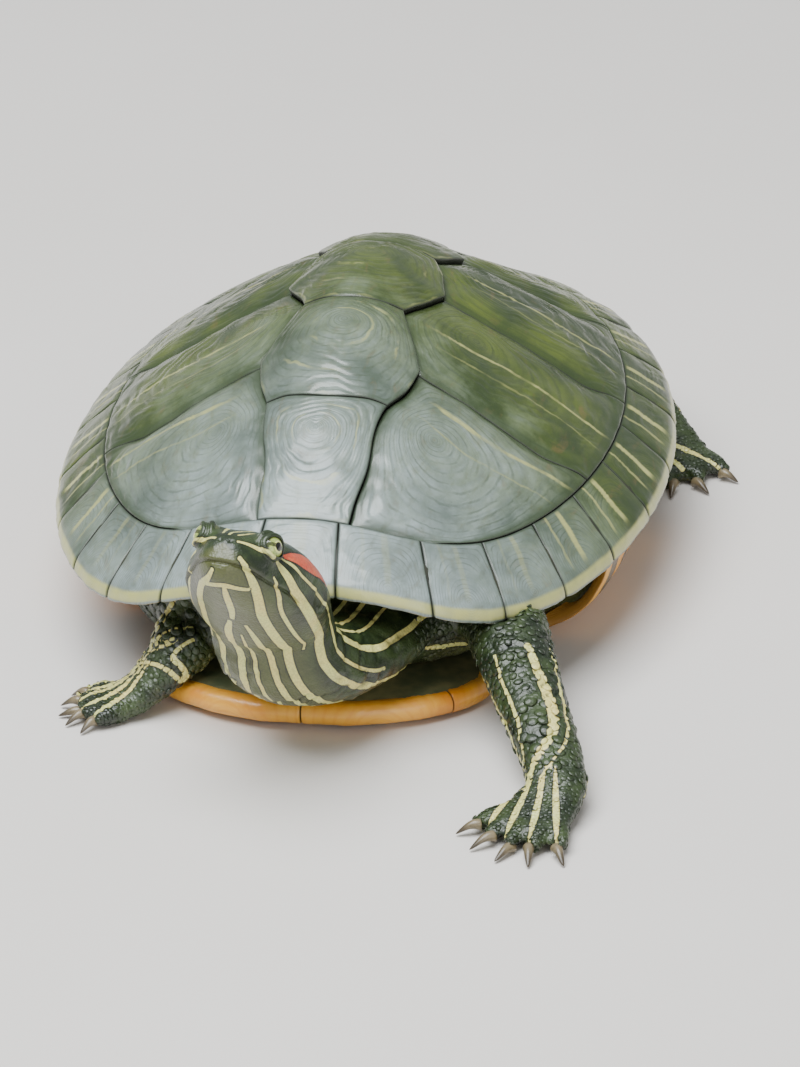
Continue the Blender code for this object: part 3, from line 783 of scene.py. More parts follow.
@dataclass
class Carapace:
    """The upper shell: five vertebral, eight pleural and twenty-five marginal plates over smooth bone.

    Seams are placed by shares of the shell's half length and half width, and along the ring inside the
    marginals by the count of marginals.
    """

    form: ShellForm
    ring: float = 0.84  # radius of the marginals' inner edge
    nuchal: float = math.radians(3.5)  # half angle of the small plate over the neck
    seams: tuple = ((0.148, -0.84), (0.200, -0.50), (0.180, -0.12), (0.180, 0.26), (0.130, 0.60))
    corners: tuple = ((0.27, -0.31), (0.27, 0.07), (0.26, 0.42))
    pleural_ends: tuple = (4.45, 6.50, 8.55, 10.75)  # where the pleural seams meet the ring
    first_corner: float = 1.6  # where the first pleural turns from its front to its outer edge
    rim_thickness: float = 0.0050
    bone_depth: float = 0.0042  # under the plates' highest places
    rim_bone_depth: float = 0.0012
    turns: tuple = (0.60, 0.80)  # shares of a marginal plate between which it wraps round the rim
    under_reach: float = 0.075  # how far back it goes underneath, in radius
    under_sink: float = 0.0014  # how far it sinks in there
    bow: float = 0.014  # how far a vertebral seam bows forwards, share of the half length
    wander: float = 0.0006

    def spot(self, across: float, along: float, side: int = 1) -> tuple[float, float]:
        """Return the place in plan at shares of the half width and the half length."""
        return side * across * self.form.width / 2, along * self.form.length / 2

    def angle(self, count: float) -> float:
        """Return the angle at a count of marginals from the nuchal plate."""
        return self.nuchal + (math.pi - self.nuchal) * count / self.form.marginals

    def arc(self, start: float, end: float) -> Line:
        """Return the marginals' inner edge from one angle to another."""
        return Line(self.form.plan(self.ring, np.linspace(start, end, 81)), rounds=0)

    def front_angle(self) -> float:
        """Return the angle at which the first vertebral meets the ring."""
        x, y = self.spot(*self.seams[0])
        return float(self.form.polar(np.array([x]), np.array([y]))[1][0])

    def ring_spot(self, angle: float) -> tuple[float, float]:
        """Return the place in plan on the marginals' inner edge."""
        return tuple(self.form.plan(self.ring, np.array(angle)))

    def laid(self, surface: Surface) -> Surface:
        """Return a surface in plan, laid on the dome, whose seams wander a little."""

        def on_dome(u: Array, v: Array) -> Array:
            """Return the place on the dome."""
            plan = surface(u, v)
            flat = np.concatenate([plan, np.zeros((*plan.shape[:-1], 1))], axis=-1)
            inside = 1 - ease(0.72, 0.83, self.form.polar(plan[..., 0], plan[..., 1])[0])
            shift = np.stack([ripple(flat, 0.024, seed) for seed in (3, 4)], axis=-1)
            return self.form.over(plan + shift * (self.wander * inside)[..., None])

        return on_dome

    def build_vertebrals(self) -> Piece:
        """Return the five plates along the middle."""
        relief = Relief(swell=0.0009, swell_reach=0.014, ring=0.00022, rings=9, areola=(0.5, 0.66))
        sheet = PlateSheet("vertebral_plates", 104, 104, relief)
        front_angle, rear_angle = self.front_angle(), self.angle(self.pleural_ends[-1])
        cross = [self.arc(-front_angle, front_angle)]
        for across, along in self.seams[1:]:
            middle = (0.0, (along - self.bow) * self.form.length / 2)
            cross.append(Line([self.spot(across, along, -1), middle, self.spot(across, along)], rounds=400))
        cross.append(self.arc(-rear_angle, rear_angle - 2 * math.pi))
        for index in range(5):
            sides = [Line(self.vertebral_side(index, side), rounds=6) for side in (-1, 1)]
            sheet.add(self.laid(patch(*sides, cross[index], cross[index + 1])), (0.045, 0.045))
        return sheet.build()

    def vertebral_side(self, index: int, side: int) -> list[tuple[float, float]]:
        """Return the side seam of a vertebral plate, from its front to its rear."""
        x, y = self.ring_spot(self.front_angle() if index == 0 else self.angle(self.pleural_ends[-1]))
        on_ring = (side * x, y)
        if index == 0:
            return [on_ring, self.spot(*self.seams[1], side)]
        if index == 4:
            return [self.spot(*self.seams[4], side), on_ring]
        spots = (self.seams[index], self.corners[index - 1], self.seams[index + 1])
        return [self.spot(*spot, side) for spot in spots]

    def build_pleurals(self, side: int) -> Piece:
        """Return the four large plates of one side."""
        relief = Relief(
            swell=0.0032, swell_reach=0.0135, ring=0.00026, rings=10, areola=(0.30, 0.62), level_end=True
        )
        sheet = PlateSheet("pleural_plates_" + SIDES[side], 112, 104, relief)
        ends = [self.angle(count) * side for count in self.pleural_ends]
        first, turn = self.front_angle() * side, self.angle(self.first_corner) * side
        spots = [self.vertebral_side(index, side) for index in range(5)]
        inner = [
            [*spots[0], spots[1][1]],
            [*spots[1][1:], spots[2][1]],
            [*spots[2][1:], spots[3][1]],
            spots[3][1:],
        ]
        outer = [self.arc(a, b) for a, b in zip([turn, *ends[:-1]], ends)]
        cross = [self.arc(first, turn)]
        for line, end in zip(inner[:3], ends):
            cross.append(self.pleural_seam(line[-1], self.ring_spot(end)))
        cross.append(Line(spots[4], rounds=6))
        for index in range(4):
            edges = (Line(inner[index], rounds=6), outer[index], cross[index], cross[index + 1])
            sheet.add(self.laid(patch(*edges)), (0.055, 0.050))
        return sheet.build()

    @staticmethod
    def pleural_seam(start: Sequence[float], end: Sequence[float]) -> Line:
        """Return the seam between two pleurals, which bows a little to the front."""
        middle = ((start[0] + end[0]) / 2, (start[1] + end[1]) / 2 - 0.0022)
        return Line([start, middle, end], rounds=400)

    def build_marginals(self) -> Piece:
        """Return the plates of the edge, which wrap round it, and the small nuchal plate."""
        relief = Relief(lip=0.0010, swell=0.0004, swell_reach=0.005, ring=0.00014, rings=5, skirt=0.0015)
        sheet = PlateSheet("marginal_plates", 30, 56, relief)
        counts = range(self.form.marginals)
        spans = [(self.angle(count), self.angle(count + 1)) for count in counts]
        spans += [(-a, -b) for a, b in spans]
        spans.append((-self.nuchal, self.nuchal))
        for start, end in spans:
            sheet.add(self.wrapped(start, end), (0.028, 0.035))
        return sheet.build()

    def wrapped(self, start: float, end: float) -> Surface:
        """Return the surface of a marginal plate: over the top, round the edge and back underneath."""

        def surface(u: Array, v: Array) -> Array:
            """Return the place."""
            phi = blend(start, end, u)
            half = self.rim_thickness / 2
            core = 1 - half / np.linalg.norm(self.form.plan(1.0, phi), axis=-1)
            bend = ramp(*self.turns, v) * math.pi
            back = ramp(self.turns[1], 1.0, v)
            radius = blend(self.ring, core, ramp(0.0, self.turns[0], v)) + (1 - core) * np.sin(bend)
            under = half * (1 - np.cos(bend)) + self.under_sink * back
            return self.form.point(radius - self.under_reach * back, phi, under)

        return surface

    def build_bone(self) -> Piece:
        """Return the bony shell under the plates, dark in the seams and bare on the inside."""
        around = np.linspace(-math.pi, math.pi, 145)[:-1]
        half = self.rim_thickness / 2
        radii = np.linspace(0.06, 0.96, 34)
        depths = (self.bone_depth, self.bone_depth, self.rim_bone_depth, self.rim_bone_depth)
        top = list(zip(radii, through((0.0, 0.83, 0.88, 1.0), depths, radii)))
        edge = [(0.982, 0.0012), (0.986, half), (0.978, self.rim_thickness - 0.0010)]
        inside = [(radius, self.form.thickness) for radius in np.linspace(0.93, 0.06, 18)]
        rings = np.array([self.form.point(radius, around, drop) for radius, drop in top + edge + inside])
        crown = self.form.point(0.0, 0.0)
        start = crown - [0, 0, self.bone_depth]
        return new_piece("carapace_bone", loft(rings, start, crown - [0, 0, self.form.thickness]))

@dataclass
class Plastron:
    """The lower shell: twelve plates over a bony core, and the two bridges up to the marginals.

    Shares along run from the plastron's front to its rear.
    """

    form: ShellForm
    low: Vector = field(default_factory=lambda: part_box("plastron")[0])
    high: Vector = field(default_factory=lambda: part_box("plastron")[1])
    places: tuple = (
        *(0, 0.006, 0.016, 0.034, 0.064, 0.10, 0.164, 0.273),
        *(0.345, 0.627, 0.70, 0.80, 0.91, 0.97, 1),
    )
    halves: tuple = (
        *(0.21, 0.31, 0.44, 0.585, 0.745, 0.85, 0.90, 0.885),
        *(1, 1, 0.885, 0.90, 0.70, 0.455, 0.245),
    )
    seams_middle: tuple = (0.0, 0.135, 0.225, 0.405, 0.650, 0.775, 1.0)
    seams_edge: tuple = (0.0, 0.060, 0.235, 0.400, 0.640, 0.865, 1.0)
    thickness: float = 0.0070
    front_lift: float = 0.0020
    rear_lift: float = 0.0030
    margin: float = 0.0045  # the middle seam ends this far from the front and the rear
    turns: tuple = (0.62, 0.84)  # shares of a plate between which it wraps round the edge
    inner_reach: float = 0.007  # how far in it ends on top
    inner_sink: float = 0.0012
    bridge_front: float = -0.046
    bridge_rear: float = 0.031
    bridge_seam: float = -0.023  # between the two large plates of a bridge
    bridge_end: float = 0.011  # length of its small first and last plates
    bridge_bow: float = 0.0078  # how far it bulges
    bridge_foot: float = 0.0015  # how far its foot is in from the plastron's edge
    bridge_top: float = 0.950  # radius at which it meets the marginals
    bridge_tuck: float = 0.0030  # how far it goes up into them
    pocket_wall: float = 0.0016  # from the outside of a bridge to the flesh in it
    pocket_reach: float = 0.024  # how far that flesh goes inwards, into the trunk
    pocket_floor: float = 0.0045
    pocket_hollow: float = 0.0080

    def half_width(self, share: Array) -> Array:
        """Return the half width at shares along."""
        return through(self.places, self.halves, share) * self.high.x

    def lift(self, share: Array) -> Array:
        """Return how far the two lobes curve up."""
        return self.front_lift * (1 - ease(0, 0.164, share)) + self.rear_lift * ease(0.86, 1.0, share)

    def rim(self) -> tuple[Array, Array, Array]:
        """Return the left half of the outline from front to rear, its outward ways and its walked length."""
        share = (1 - np.cos(np.linspace(0, math.pi, 201))) / 2
        half, y = self.half_width(share), blend(self.low.y, self.high.y, share)
        front = np.stack([np.linspace(0, half[0], 9)[:-1], np.full(8, y[0])], axis=-1)
        rear = np.stack([np.linspace(half[-1], 0, 9)[1:], np.full(8, y[-1])], axis=-1)
        places = np.concatenate([front, np.stack([half, y], axis=-1), rear])
        places = rounded(places, 6)
        ways = np.gradient(places, axis=0)
        return places, unit(np.stack([ways[:, 1], -ways[:, 0]], axis=-1)), walk(places)

    def wrapped(self, side: int, first: int) -> Surface:
        """Return the surface of one plate: out along the underside, round the edge and back on top."""
        places, outward, walked = self.rim()
        cuts = [blend(self.low.y, self.high.y, share) for share in self.seams_edge[1:-1]]
        cuts = [0.0, *(float(np.interp(cut, places[8:-8, 1], walked[8:-8])) for cut in cuts), walked[-1]]
        margin = self.margin / (self.high.y - self.low.y)

        def surface(u: Array, v: Array) -> Array:
            """Return the place."""
            first_turn, last_turn = self.turns
            reach = ramp(0.0, first_turn, v)
            bend = ramp(first_turn, last_turn, v) * math.pi
            at = blend(cuts[first], cuts[first + 1], u)
            edge = along_run(at, walked, places)
            out = along_run(at, walked, outward)
            share = blend(self.seams_middle[first], self.seams_middle[first + 1], u)
            share = np.clip(share, margin, 1 - margin)
            middle = np.stack([np.zeros_like(u), blend(self.low.y, self.high.y, share)], axis=-1)
            half = self.thickness / 2
            inset = half * (1 - np.sin(bend)) + self.inner_reach * ramp(last_turn, 1.0, v)
            below = blend(middle, edge - out * half, reach[..., None])
            plan = np.where((v < first_turn)[..., None], below, edge - out * inset[..., None])
            lift = self.lift((plan[..., 1] - self.low.y) / (self.high.y - self.low.y))
            z = half * (1 - np.cos(bend)) + lift - self.inner_sink * ease(last_turn, 1.0, v)
            return np.stack([side * plan[..., 0], plan[..., 1], z], axis=-1)

        return surface

    def build_plates(self) -> Piece:
        """Return the twelve plates."""
        relief = Relief(
            lip=0.0008, lip_drop=0.0005, swell=0.0, ring=0.00008, rings=6, wrinkle=0.00004, skirt=0.0013
        )
        sheet = PlateSheet("plastron_plates", 52, 64, relief)
        for side in (1, -1):
            for first in range(6):
                sheet.add(self.wrapped(side, first), (0.030, 0.060))
        return sheet.build()

    def build_core(self) -> Piece:
        """Return the bone between the plates."""
        share = (1 - np.cos(np.linspace(0, math.pi, 61))) / 2
        share = np.concatenate([share, share[-2:0:-1]])
        side = np.concatenate([np.ones(61), -np.ones(59)])
        low, high = 0.0007, 0.0067
        levels = ((0.60, low), (0.93, low), (0.975, 0.0020), (0.975, 0.0050), (0.94, high), (0.60, high))
        rings = []
        for scale, height in levels:
            x = side * self.half_width(share) * scale
            y = blend(self.low.y, self.high.y, share) * (1 - (1 - scale) * 0.5)
            rings.append(np.stack([x, y, height + self.lift(share)], axis=-1))
        return new_piece("plastron_bone", loft(np.array(rings), (0, 0, low), (0, 0, high)))

    def bridge_surface(self, side: int, start: float, end: float) -> Surface:
        """Return a stretch of the bridge's outside, from the plastron up to under the marginals."""

        def surface(u: Array, v: Array) -> Array:
            """Return the place."""
            y = blend(start, end, u)
            phi = np.arccos(np.clip(-2 * y / self.form.length, -1, 1))
            top = self.form.point(self.bridge_top, phi, self.form.thickness - self.bridge_tuck)
            middle = (self.bridge_front + self.bridge_rear) / 2
            pinch = np.abs((y - middle) / (self.bridge_rear - middle)) ** 4
            bow = self.bridge_bow * np.sin(math.pi * v)
            x = blend(self.high.x - self.bridge_foot, top[..., 0], v) + bow * (1 - 0.25 * pinch)
            z = blend(0.0012, top[..., 2], v**1.35) - bow * 0.2
            return np.stack([side * x, y, z], axis=-1)

        return surface

    def build_bridges(self) -> Piece:
        """Return the plates of both bridges."""
        relief = Relief(
            lip=0.0009, lip_drop=0.0005, swell=0.0003, swell_reach=0.006, ring=0.00012, rings=6, skirt=0.0030
        )
        sheet = PlateSheet("bridge_plates", 48, 34, relief)
        front, rear = self.bridge_front, self.bridge_rear
        cuts = (front, front + self.bridge_end, self.bridge_seam, rear - self.bridge_end, rear)
        for side in (1, -1):
            for start, end in zip(cuts, cuts[1:]):
                sheet.add(self.bridge_surface(side, start, end), (0.025, 0.030))
        return sheet.build()

    def pocket_section(self, side: int, y: float) -> Array:
        """Return the outline, across the turtle, of the flesh that fills a bridge."""
        up = np.linspace(0.05, 1.0, 22)
        outer = self.bridge_surface(1, y, y)(np.zeros_like(up), up) - np.array([self.pocket_wall, 0, 0])
        x = np.linspace(outer[-1, 0], self.high.x - self.pocket_reach, 14)[1:]
        radius, phi = self.form.polar(x, np.full_like(x, y))
        roof = self.form.point(radius, phi, self.form.thickness - 0.002)
        top = np.stack([x, np.full_like(x, y), np.maximum(roof[..., 2], outer[-1, 2])], axis=-1)
        down = np.linspace(top[-1, 2], self.pocket_floor, 10)[1:]
        inner = np.stack([np.full_like(down, x[-1]), np.full_like(down, y), down], axis=-1)
        x = np.linspace(x[-1], outer[0, 0], 12)[1:-1]
        bottom = np.stack([x, np.full_like(x, y), np.full_like(x, self.pocket_floor)], axis=-1)
        return np.concatenate([outer, top, inner, bottom]) * np.array([side, 1, 1])

    def build_pockets(self) -> list[Piece]:
        """Return the flesh inside each bridge, hollowed towards the limbs at both ends."""
        pieces = []
        front, rear = self.bridge_front + 0.0012, self.bridge_rear - 0.0012
        shares = np.linspace(0.0, 1.0, 9)[1:]
        for side, name in SIDES.items():
            ends = []
            for y, way in ((front, 1), (rear, -1)):
                outline = self.pocket_section(side, y)
                centre = outline.mean(axis=0)
                hollow = (1 - shares**2) * self.pocket_hollow * way
                rings = centre + (outline - centre) * shares[:, None, None]
                rings[..., 1] += hollow[:, None]
                ends.append(rings)
            between = [self.pocket_section(side, y) for y in np.linspace(front, rear, 22)[1:-1]]
            rings = np.concatenate([ends[0], between, ends[1][::-1]])
            poles = [end[0].mean(axis=0) for end in ends]
            pieces.append(new_piece("bridge_flesh_" + name, loft(rings, *poles)))
        return pieces


# The flesh


def edges_of(mesh: Mesh) -> Array:
    """Return a mesh's edges as rows of two vertex numbers."""
    return fetched(mesh.edges, "vertices", 2, np.int32)


def relax(values: Array, edges: Array, rounds: int, share: Array | float = 0.5) -> Array:
    """Even out what is kept at each vertex with its neighbours.

    Args:
        values: One row for each vertex.
        edges: The mesh's edges.
        rounds: How many times.
        share: How much of the way to go each time, for all or for each vertex.

    Returns:
        The evened values.
    """
    flat = values.ndim == 1
    rows = values[:, None] if flat else values
    count = np.maximum(np.bincount(edges.ravel(), minlength=len(rows)), 1)[:, None]
    share = np.broadcast_to(np.asarray(share, float), len(rows))[:, None]
    for _ in range(rounds):
        total = np.stack(
            [
                np.bincount(edges[:, 0], rows[edges[:, 1], axis], len(rows))
                + np.bincount(edges[:, 1], rows[edges[:, 0], axis], len(rows))
                for axis in range(rows.shape[1])
            ],
            axis=-1,
        )
        rows = rows + share * (total / count - rows)
    return rows[:, 0] if flat else rows


def node_rows(name: str) -> Array:
    """Return the vertex places of a solid."""
    return to_rows(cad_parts[name].data)


NECK_LINE = ((6, -78, 27), (7, -102, 26), (3, -121, 28.5), (-1.6, -130.5, 37.5))  # millimetres, from its base


@dataclass
class Spine:
    """The middle line of a limb, or of the head and neck, with axes along it.

    Turn is an angle round the line: 0 below, a quarter turn to the left side and half a turn on top.
    """

    places: Array
    lefts: Array
    zero: float = 0.0  # the length before the place from which distances along are taken
    STRETCH = 0.006  # the way ahead is taken over this much of the line on each side

    def __post_init__(self) -> None:
        """Measure the line."""
        self.walked = walk(self.places) - self.zero
        self.start = float(self.walked[0])
        self.end = float(self.walked[-1])

    def axes(self, along: Array) -> tuple[Array, Array, Array, Array]:
        """Give the line's own axes.

        Args:
            along: Distances along the line, which may go past its ends.

        Returns:
            The places with the way ahead, the left and the up at each.
        """
        inside = np.clip(along, self.start, self.end)
        first = np.clip(inside - self.STRETCH, self.start, self.end)
        last = np.clip(inside + self.STRETCH, self.start, self.end)
        ahead = unit(through(self.walked, self.places, last) - through(self.walked, self.places, first))
        places = through(self.walked, self.places, inside) + ahead * (along - inside)[..., None]
        left = through(self.walked, self.lefts, inside)
        left = unit(left - ahead * (left * ahead).sum(axis=-1)[..., None])
        return places, ahead, left, np.cross(ahead, left)

    def on_skin(self, tree: BVHTree, along: Array, turn: Array) -> list[tuple[int, Vector, Vector]]:
        """Return where the ways out at turns leave the skin.

        Args:
            tree: The skin's faces.
            along: Distances along the line.
            turn: The turn round it for each.

        Returns:
            For each that leaves: its number, the place and the skin's normal.
        """
        places, _, left, up = self.axes(along)
        ways = left * np.sin(turn)[:, None] - up * np.cos(turn)[:, None]
        found = []
        for number, (place, way) in enumerate(zip(places.tolist(), ways.tolist())):
            spot, normal, _, _ = tree.ray_cast(place, way, 0.05)
            if spot is not None:
                found.append((number, spot, normal))
        return found

    @classmethod
    def of_limb(cls, leg: str, foot: str) -> "Spine":
        """Return the line down a leg and through its foot, measured from the wrist or ankle."""
        upper, lower = node_rows(leg), node_rows(foot)
        near = np.linalg.norm(upper - lower.mean(axis=0), axis=1)
        wrist = upper[np.argsort(near)[:12]].mean(axis=0)
        return cls.level(cls.middles(upper, wrist, 4)[::-1] + [wrist] + cls.middles(lower, wrist, 2), 4)

    @classmethod
    def of_tail(cls) -> "Spine":
        """Return the line down the tail."""
        rows = node_rows("tail")
        tip = rows[np.argsort(rows[:, 1])[-6:]].mean(axis=0)
        return cls.level(cls.middles(rows, tip, 5)[::-1] + [tip])

    @classmethod
    def of_head(cls, head: "HeadAxes") -> "Spine":
        """Return the line up the neck and through the head, measured from where the two meet."""
        behind = [np.array(place) * MM for place in NECK_LINE]
        before = [np.array(head.world(ahead, 0, 0.6)) for ahead in (0, 12, 24, 36, 48)]
        turned = np.minimum(np.arange(len(behind + before)) / (len(behind) - 1), 1.0)
        lefts = blend(np.array([1.0, 0.0, 0.0]), np.array(head.left), turned[:, None])
        places = np.array(behind + before)
        return cls(places, lefts, float(walk(places)[len(behind)]))

    @classmethod
    def level(cls, places: list[Array], first: int = 0) -> "Spine":
        """Return a line whose left is level, measured from one of its places."""
        places = np.array(places)
        lefts = unit(np.cross([0.0, 0.0, 1.0], np.gradient(places, axis=0)))
        return cls(places, lefts, float(walk(places)[first]))

    @staticmethod
    def middles(rows: Array, start: Array, count: int) -> list[Array]:
        """Return the middles of a solid's vertices, parted by how far they are from a place."""
        reach = np.linalg.norm(rows - start, axis=1)
        limits = np.linspace(reach.max() * 0.12, reach.max() * 1.001, count + 1)
        bands = [rows[(reach >= a) & (reach < b)] for a, b in zip(limits, limits[1:])]
        return [band.mean(axis=0) for band in bands if len(band)]


@dataclass
class HeadAxes:
    """Where the head is and which way it faces. Its solid ends behind in one flat cut, square to that way."""

    joint: Vector
    ahead: Vector
    left: Vector
    up: Vector
    eyes: dict[int, Vector]

    @classmethod
    def from_frame(cls) -> "HeadAxes":
        """Read the head's axes from the solids of the head and the eyes."""
        mesh = bmesh.new()
        mesh.from_mesh(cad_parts["head"].data)
        flats: dict[tuple, float] = {}
        for face in mesh.faces:
            level = face.normal.dot(face.calc_center_median())
            plane = (*(round(c, 2) for c in face.normal), round(level, 4))
            flats[plane] = flats.get(plane, 0.0) + face.calc_area()
        plane = max(flats, key=flats.get)
        back = max(mesh.faces, key=lambda face: face.normal.dot(Vector(plane[:3])) + face.calc_area())
        ahead = -back.normal.normalized()
        level = back.calc_center_median().dot(ahead)
        cut = [v.co.copy() for v in mesh.verts if abs(v.co.dot(ahead) - level) < 1e-5]
        mesh.free()
        eyes = {side: sum(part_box("eye_" + name), Vector()) / 2 for side, name in SIDES.items()}
        left = (eyes[1] - eyes[-1]).normalized()
        left = (left - ahead * left.dot(ahead)).normalized()
        low, high = [Vector([pick(c[axis] for c in cut) for axis in range(3)]) for pick in (min, max)]
        return cls((low + high) / 2, ahead, left, ahead.cross(left), eyes)

    def local(self, rows: Array) -> Array:
        """Return places as millimetres ahead, left and up of the joint."""
        return (rows - np.array(self.joint)) @ np.array([self.ahead, self.left, self.up]).T / MM

    def world(self, ahead: float, left: float, up: float) -> Vector:
        """Return the place that is so many millimetres ahead, left and up of the joint."""
        return self.joint + (self.ahead * ahead + self.left * left + self.up * up) * MM


@dataclass
class Eye:
    """One eyeball and the lids round it. Angles are from the way it looks."""

    head: HeadAxes
    side: int
    radius: float = 0.0044
    open_along: float = math.radians(50)
    open_up: float = math.radians(36)
    lid_width: float = math.radians(13)
    lid_thickness: float = 0.00035
    lid_swell: float = 0.00040  # away from the opening
    crease: float = 0.00042  # depth of the fold round the lids
    sink: float = 0.0011  # how far the skin goes in behind the ball's front

    def __post_init__(self) -> None:
        """Work out the way the eye looks and the axes of its opening."""
        head = self.head
        self.centre = head.eyes[self.side]
        self.gaze = (head.left * self.side + head.ahead * 0.42 + head.up * 0.14).normalized()
        self.along = (head.ahead - self.gaze * head.ahead.dot(self.gaze)).normalized()
        self.rise = self.gaze.cross(self.along)
        self.rise *= math.copysign(1, self.rise.dot(head.up))

    def opening(self, turn: Array) -> Array:
        """Return the angle from the gaze to the lids' edge, by the turn round it."""
        across, high = np.cos(turn), np.sin(turn)
        oval = 1 / np.sqrt((across / self.open_along) ** 2 + (high / self.open_up) ** 2)
        return oval * (1 + 0.06 * np.abs(across) ** 8)

    def looked(self, rows: Array) -> tuple[Array, Array, Array, Array]:
        """Return, for places, the way from the eye's centre, how far, the angle off the gaze and the turn."""
        offset = rows - np.array(self.centre)
        reach = np.linalg.norm(offset, axis=1)
        way = offset / np.maximum(reach, TINY)[:, None]
        look = way @ np.array([self.gaze, self.along, self.rise]).T
        return way, reach, np.arccos(np.clip(look[:, 0], -1, 1)), np.arctan2(look[:, 2], look[:, 1])

    def seated(self, rows: Array) -> Array:
        """Return skin places drawn over the eyeball like lids, and sunk behind it in the opening."""
        way, reach, away, turn = self.looked(rows)
        beyond = away - self.opening(turn)
        lid = self.radius + self.lid_thickness + self.lid_swell * ease(0.15, 0.75, beyond)
        crease = self.crease * hump(beyond, 0.42, 0.09)
        covered = blend(lid, np.maximum(reach, lid), ease(0.35, 0.80, beyond)) - crease
        wanted = blend(np.minimum(reach, self.radius - self.sink), covered, ease(-0.02, 0.10, beyond))
        reached = (1 - ease(1.35, 1.75, away)) * (1 - ease(2.0, 2.6, reach / self.radius))
        return rows + way * ((wanted - reach) * reached)[:, None]

    def build_lids(self) -> Piece:
        """Return the thick rims of both lids, one closed ring round the opening."""
        around, across = 72, 14
        mesh = bmesh.new()
        bmesh.ops.create_grid(mesh, x_segments=around, y_segments=across, size=1.0)
        for vert in mesh.verts:
            turn = (vert.co.x + 1) * math.pi
            section = (vert.co.y + 1) * math.pi
            upper = max(0.0, math.sin(turn))
            away = float(self.opening(np.array(turn))) + self.lid_width * (0.45 + 0.60 * math.cos(section))
            reach = self.radius + 0.00012 + (0.00036 + 0.00016 * upper) * (1 + math.sin(section)) * 0.8
            way = self.gaze * math.cos(away)
            way += (self.along * math.cos(turn) + self.rise * math.sin(turn)) * math.sin(away)
            vert.co = self.centre + way * reach
        bmesh.ops.remove_doubles(mesh, verts=mesh.verts, dist=1e-6)
        bmesh.ops.recalc_face_normals(mesh, faces=mesh.faces)
        return new_piece("eyelids_" + SIDES[self.side], mesh)

    def build_ball(self) -> Piece:
        """Return the eyeball with its slightly raised clear front."""
        mesh = bmesh.new()
        bmesh.ops.create_uvsphere(mesh, u_segments=72, v_segments=48, radius=self.radius)
        turned = Matrix((self.along, self.rise, self.gaze)).transposed().to_4x4()
        bmesh.ops.transform(mesh, matrix=Matrix.Translation(self.centre) @ turned, verts=mesh.verts)
        bmesh.ops.recalc_face_normals(mesh, faces=mesh.faces)
        piece = new_piece("eyeball_" + SIDES[self.side], mesh)
        rows = to_rows(piece.data)
        look = (rows - np.array(self.centre)) @ np.array([self.along, self.rise, self.gaze]).T / self.radius
        bulge = 0.00020 * ease(0.72, 0.92, look[:, 2])
        from_rows(piece.data, rows + np.array(self.gaze) * bulge[:, None])
        store(piece.data, "look", look)
        return piece


@dataclass
class Face:
    """The fine shapes of the head: bill, mouth, nostrils, ear drum and brow. Millimetres from the joint."""

    head: HeadAxes
    corner: float = 21.5  # where the mouth ends
    tip: float = 48.0
    mouth_depth: float = 0.95
    mouth_width: float = 0.36
    lip: float = 0.20  # how far the bill's edge swells over the mouth
    jaw_inset: float = 0.55  # how far the bill stands over the lower jaw
    nostril: tuple = (46.4, 1.5, 1.4)
    nostril_depth: float = 0.80
    nostril_width: float = 0.55
    drum: tuple = (14.5, 1.0)
    drum_radius: float = 4.8
    drum_rim: float = 0.30
    drum_dish: float = 0.35
    brow: tuple = (36.5, 8.8)
    brow_rise: float = 0.50
    snout_valley: float = 0.35

    def mouth(self, ahead: Array) -> Array:
        """Return the height of the mouth's line."""
        places = (self.corner - 2, self.corner + 2, 28.0, 36.0, 43.0, self.tip + 2)
        return through(places, (-5.4, -4.7, -4.2, -4.6, -4.5, -5.2), ahead)

    def pushed(self, rows: Array) -> Array:
        """Return how far each place of the skin is pushed out, in metres."""
        ahead, left, up = self.head.local(rows).T
        side = np.abs(left)
        near = ease(-2.0, 4.0, ahead) * (np.hypot(left, up) < 26)
        below = self.mouth(ahead) - up
        inside = ease(self.corner - 0.8, self.corner + 1.5, ahead)
        push = -self.mouth_depth * hump(below, 0, self.mouth_width) * inside
        jaw = ease(-0.05, 0.40, below) * (1 - ease(2.5, 6.0, below))
        push -= self.jaw_inset * ease(24, 33, ahead) * jaw
        push += self.lip * inside * hump(below, -1.1, 0.7)
        spot = self.nostril
        reach = np.sqrt((ahead - spot[0]) ** 2 * 0.4 + (side - spot[1]) ** 2 + (up - spot[2]) ** 2)
        push -= self.nostril_depth * hump(reach, 0, self.nostril_width) * ease(40, 44, ahead)
        ring = np.hypot(ahead - self.drum[0], up - self.drum[1]) / self.drum_radius
        drum = self.drum_rim * hump(ring, 1, 0.18) - self.drum_dish * (1 - ease(0.6, 0.95, ring))
        push += ease(9, 13, side) * drum
        brow = hump(ahead, self.brow[0], 6.0) * hump(up, self.brow[1], 1.2)
        push += self.brow_rise * brow * ease(3.5, 6.5, side)
        valley = ease(28, 33, ahead) * (1 - ease(40, 45, ahead)) * ease(4, 7, up)
        push -= self.snout_valley * hump(left, 0, 3.0) * valley
        return push * near * MM


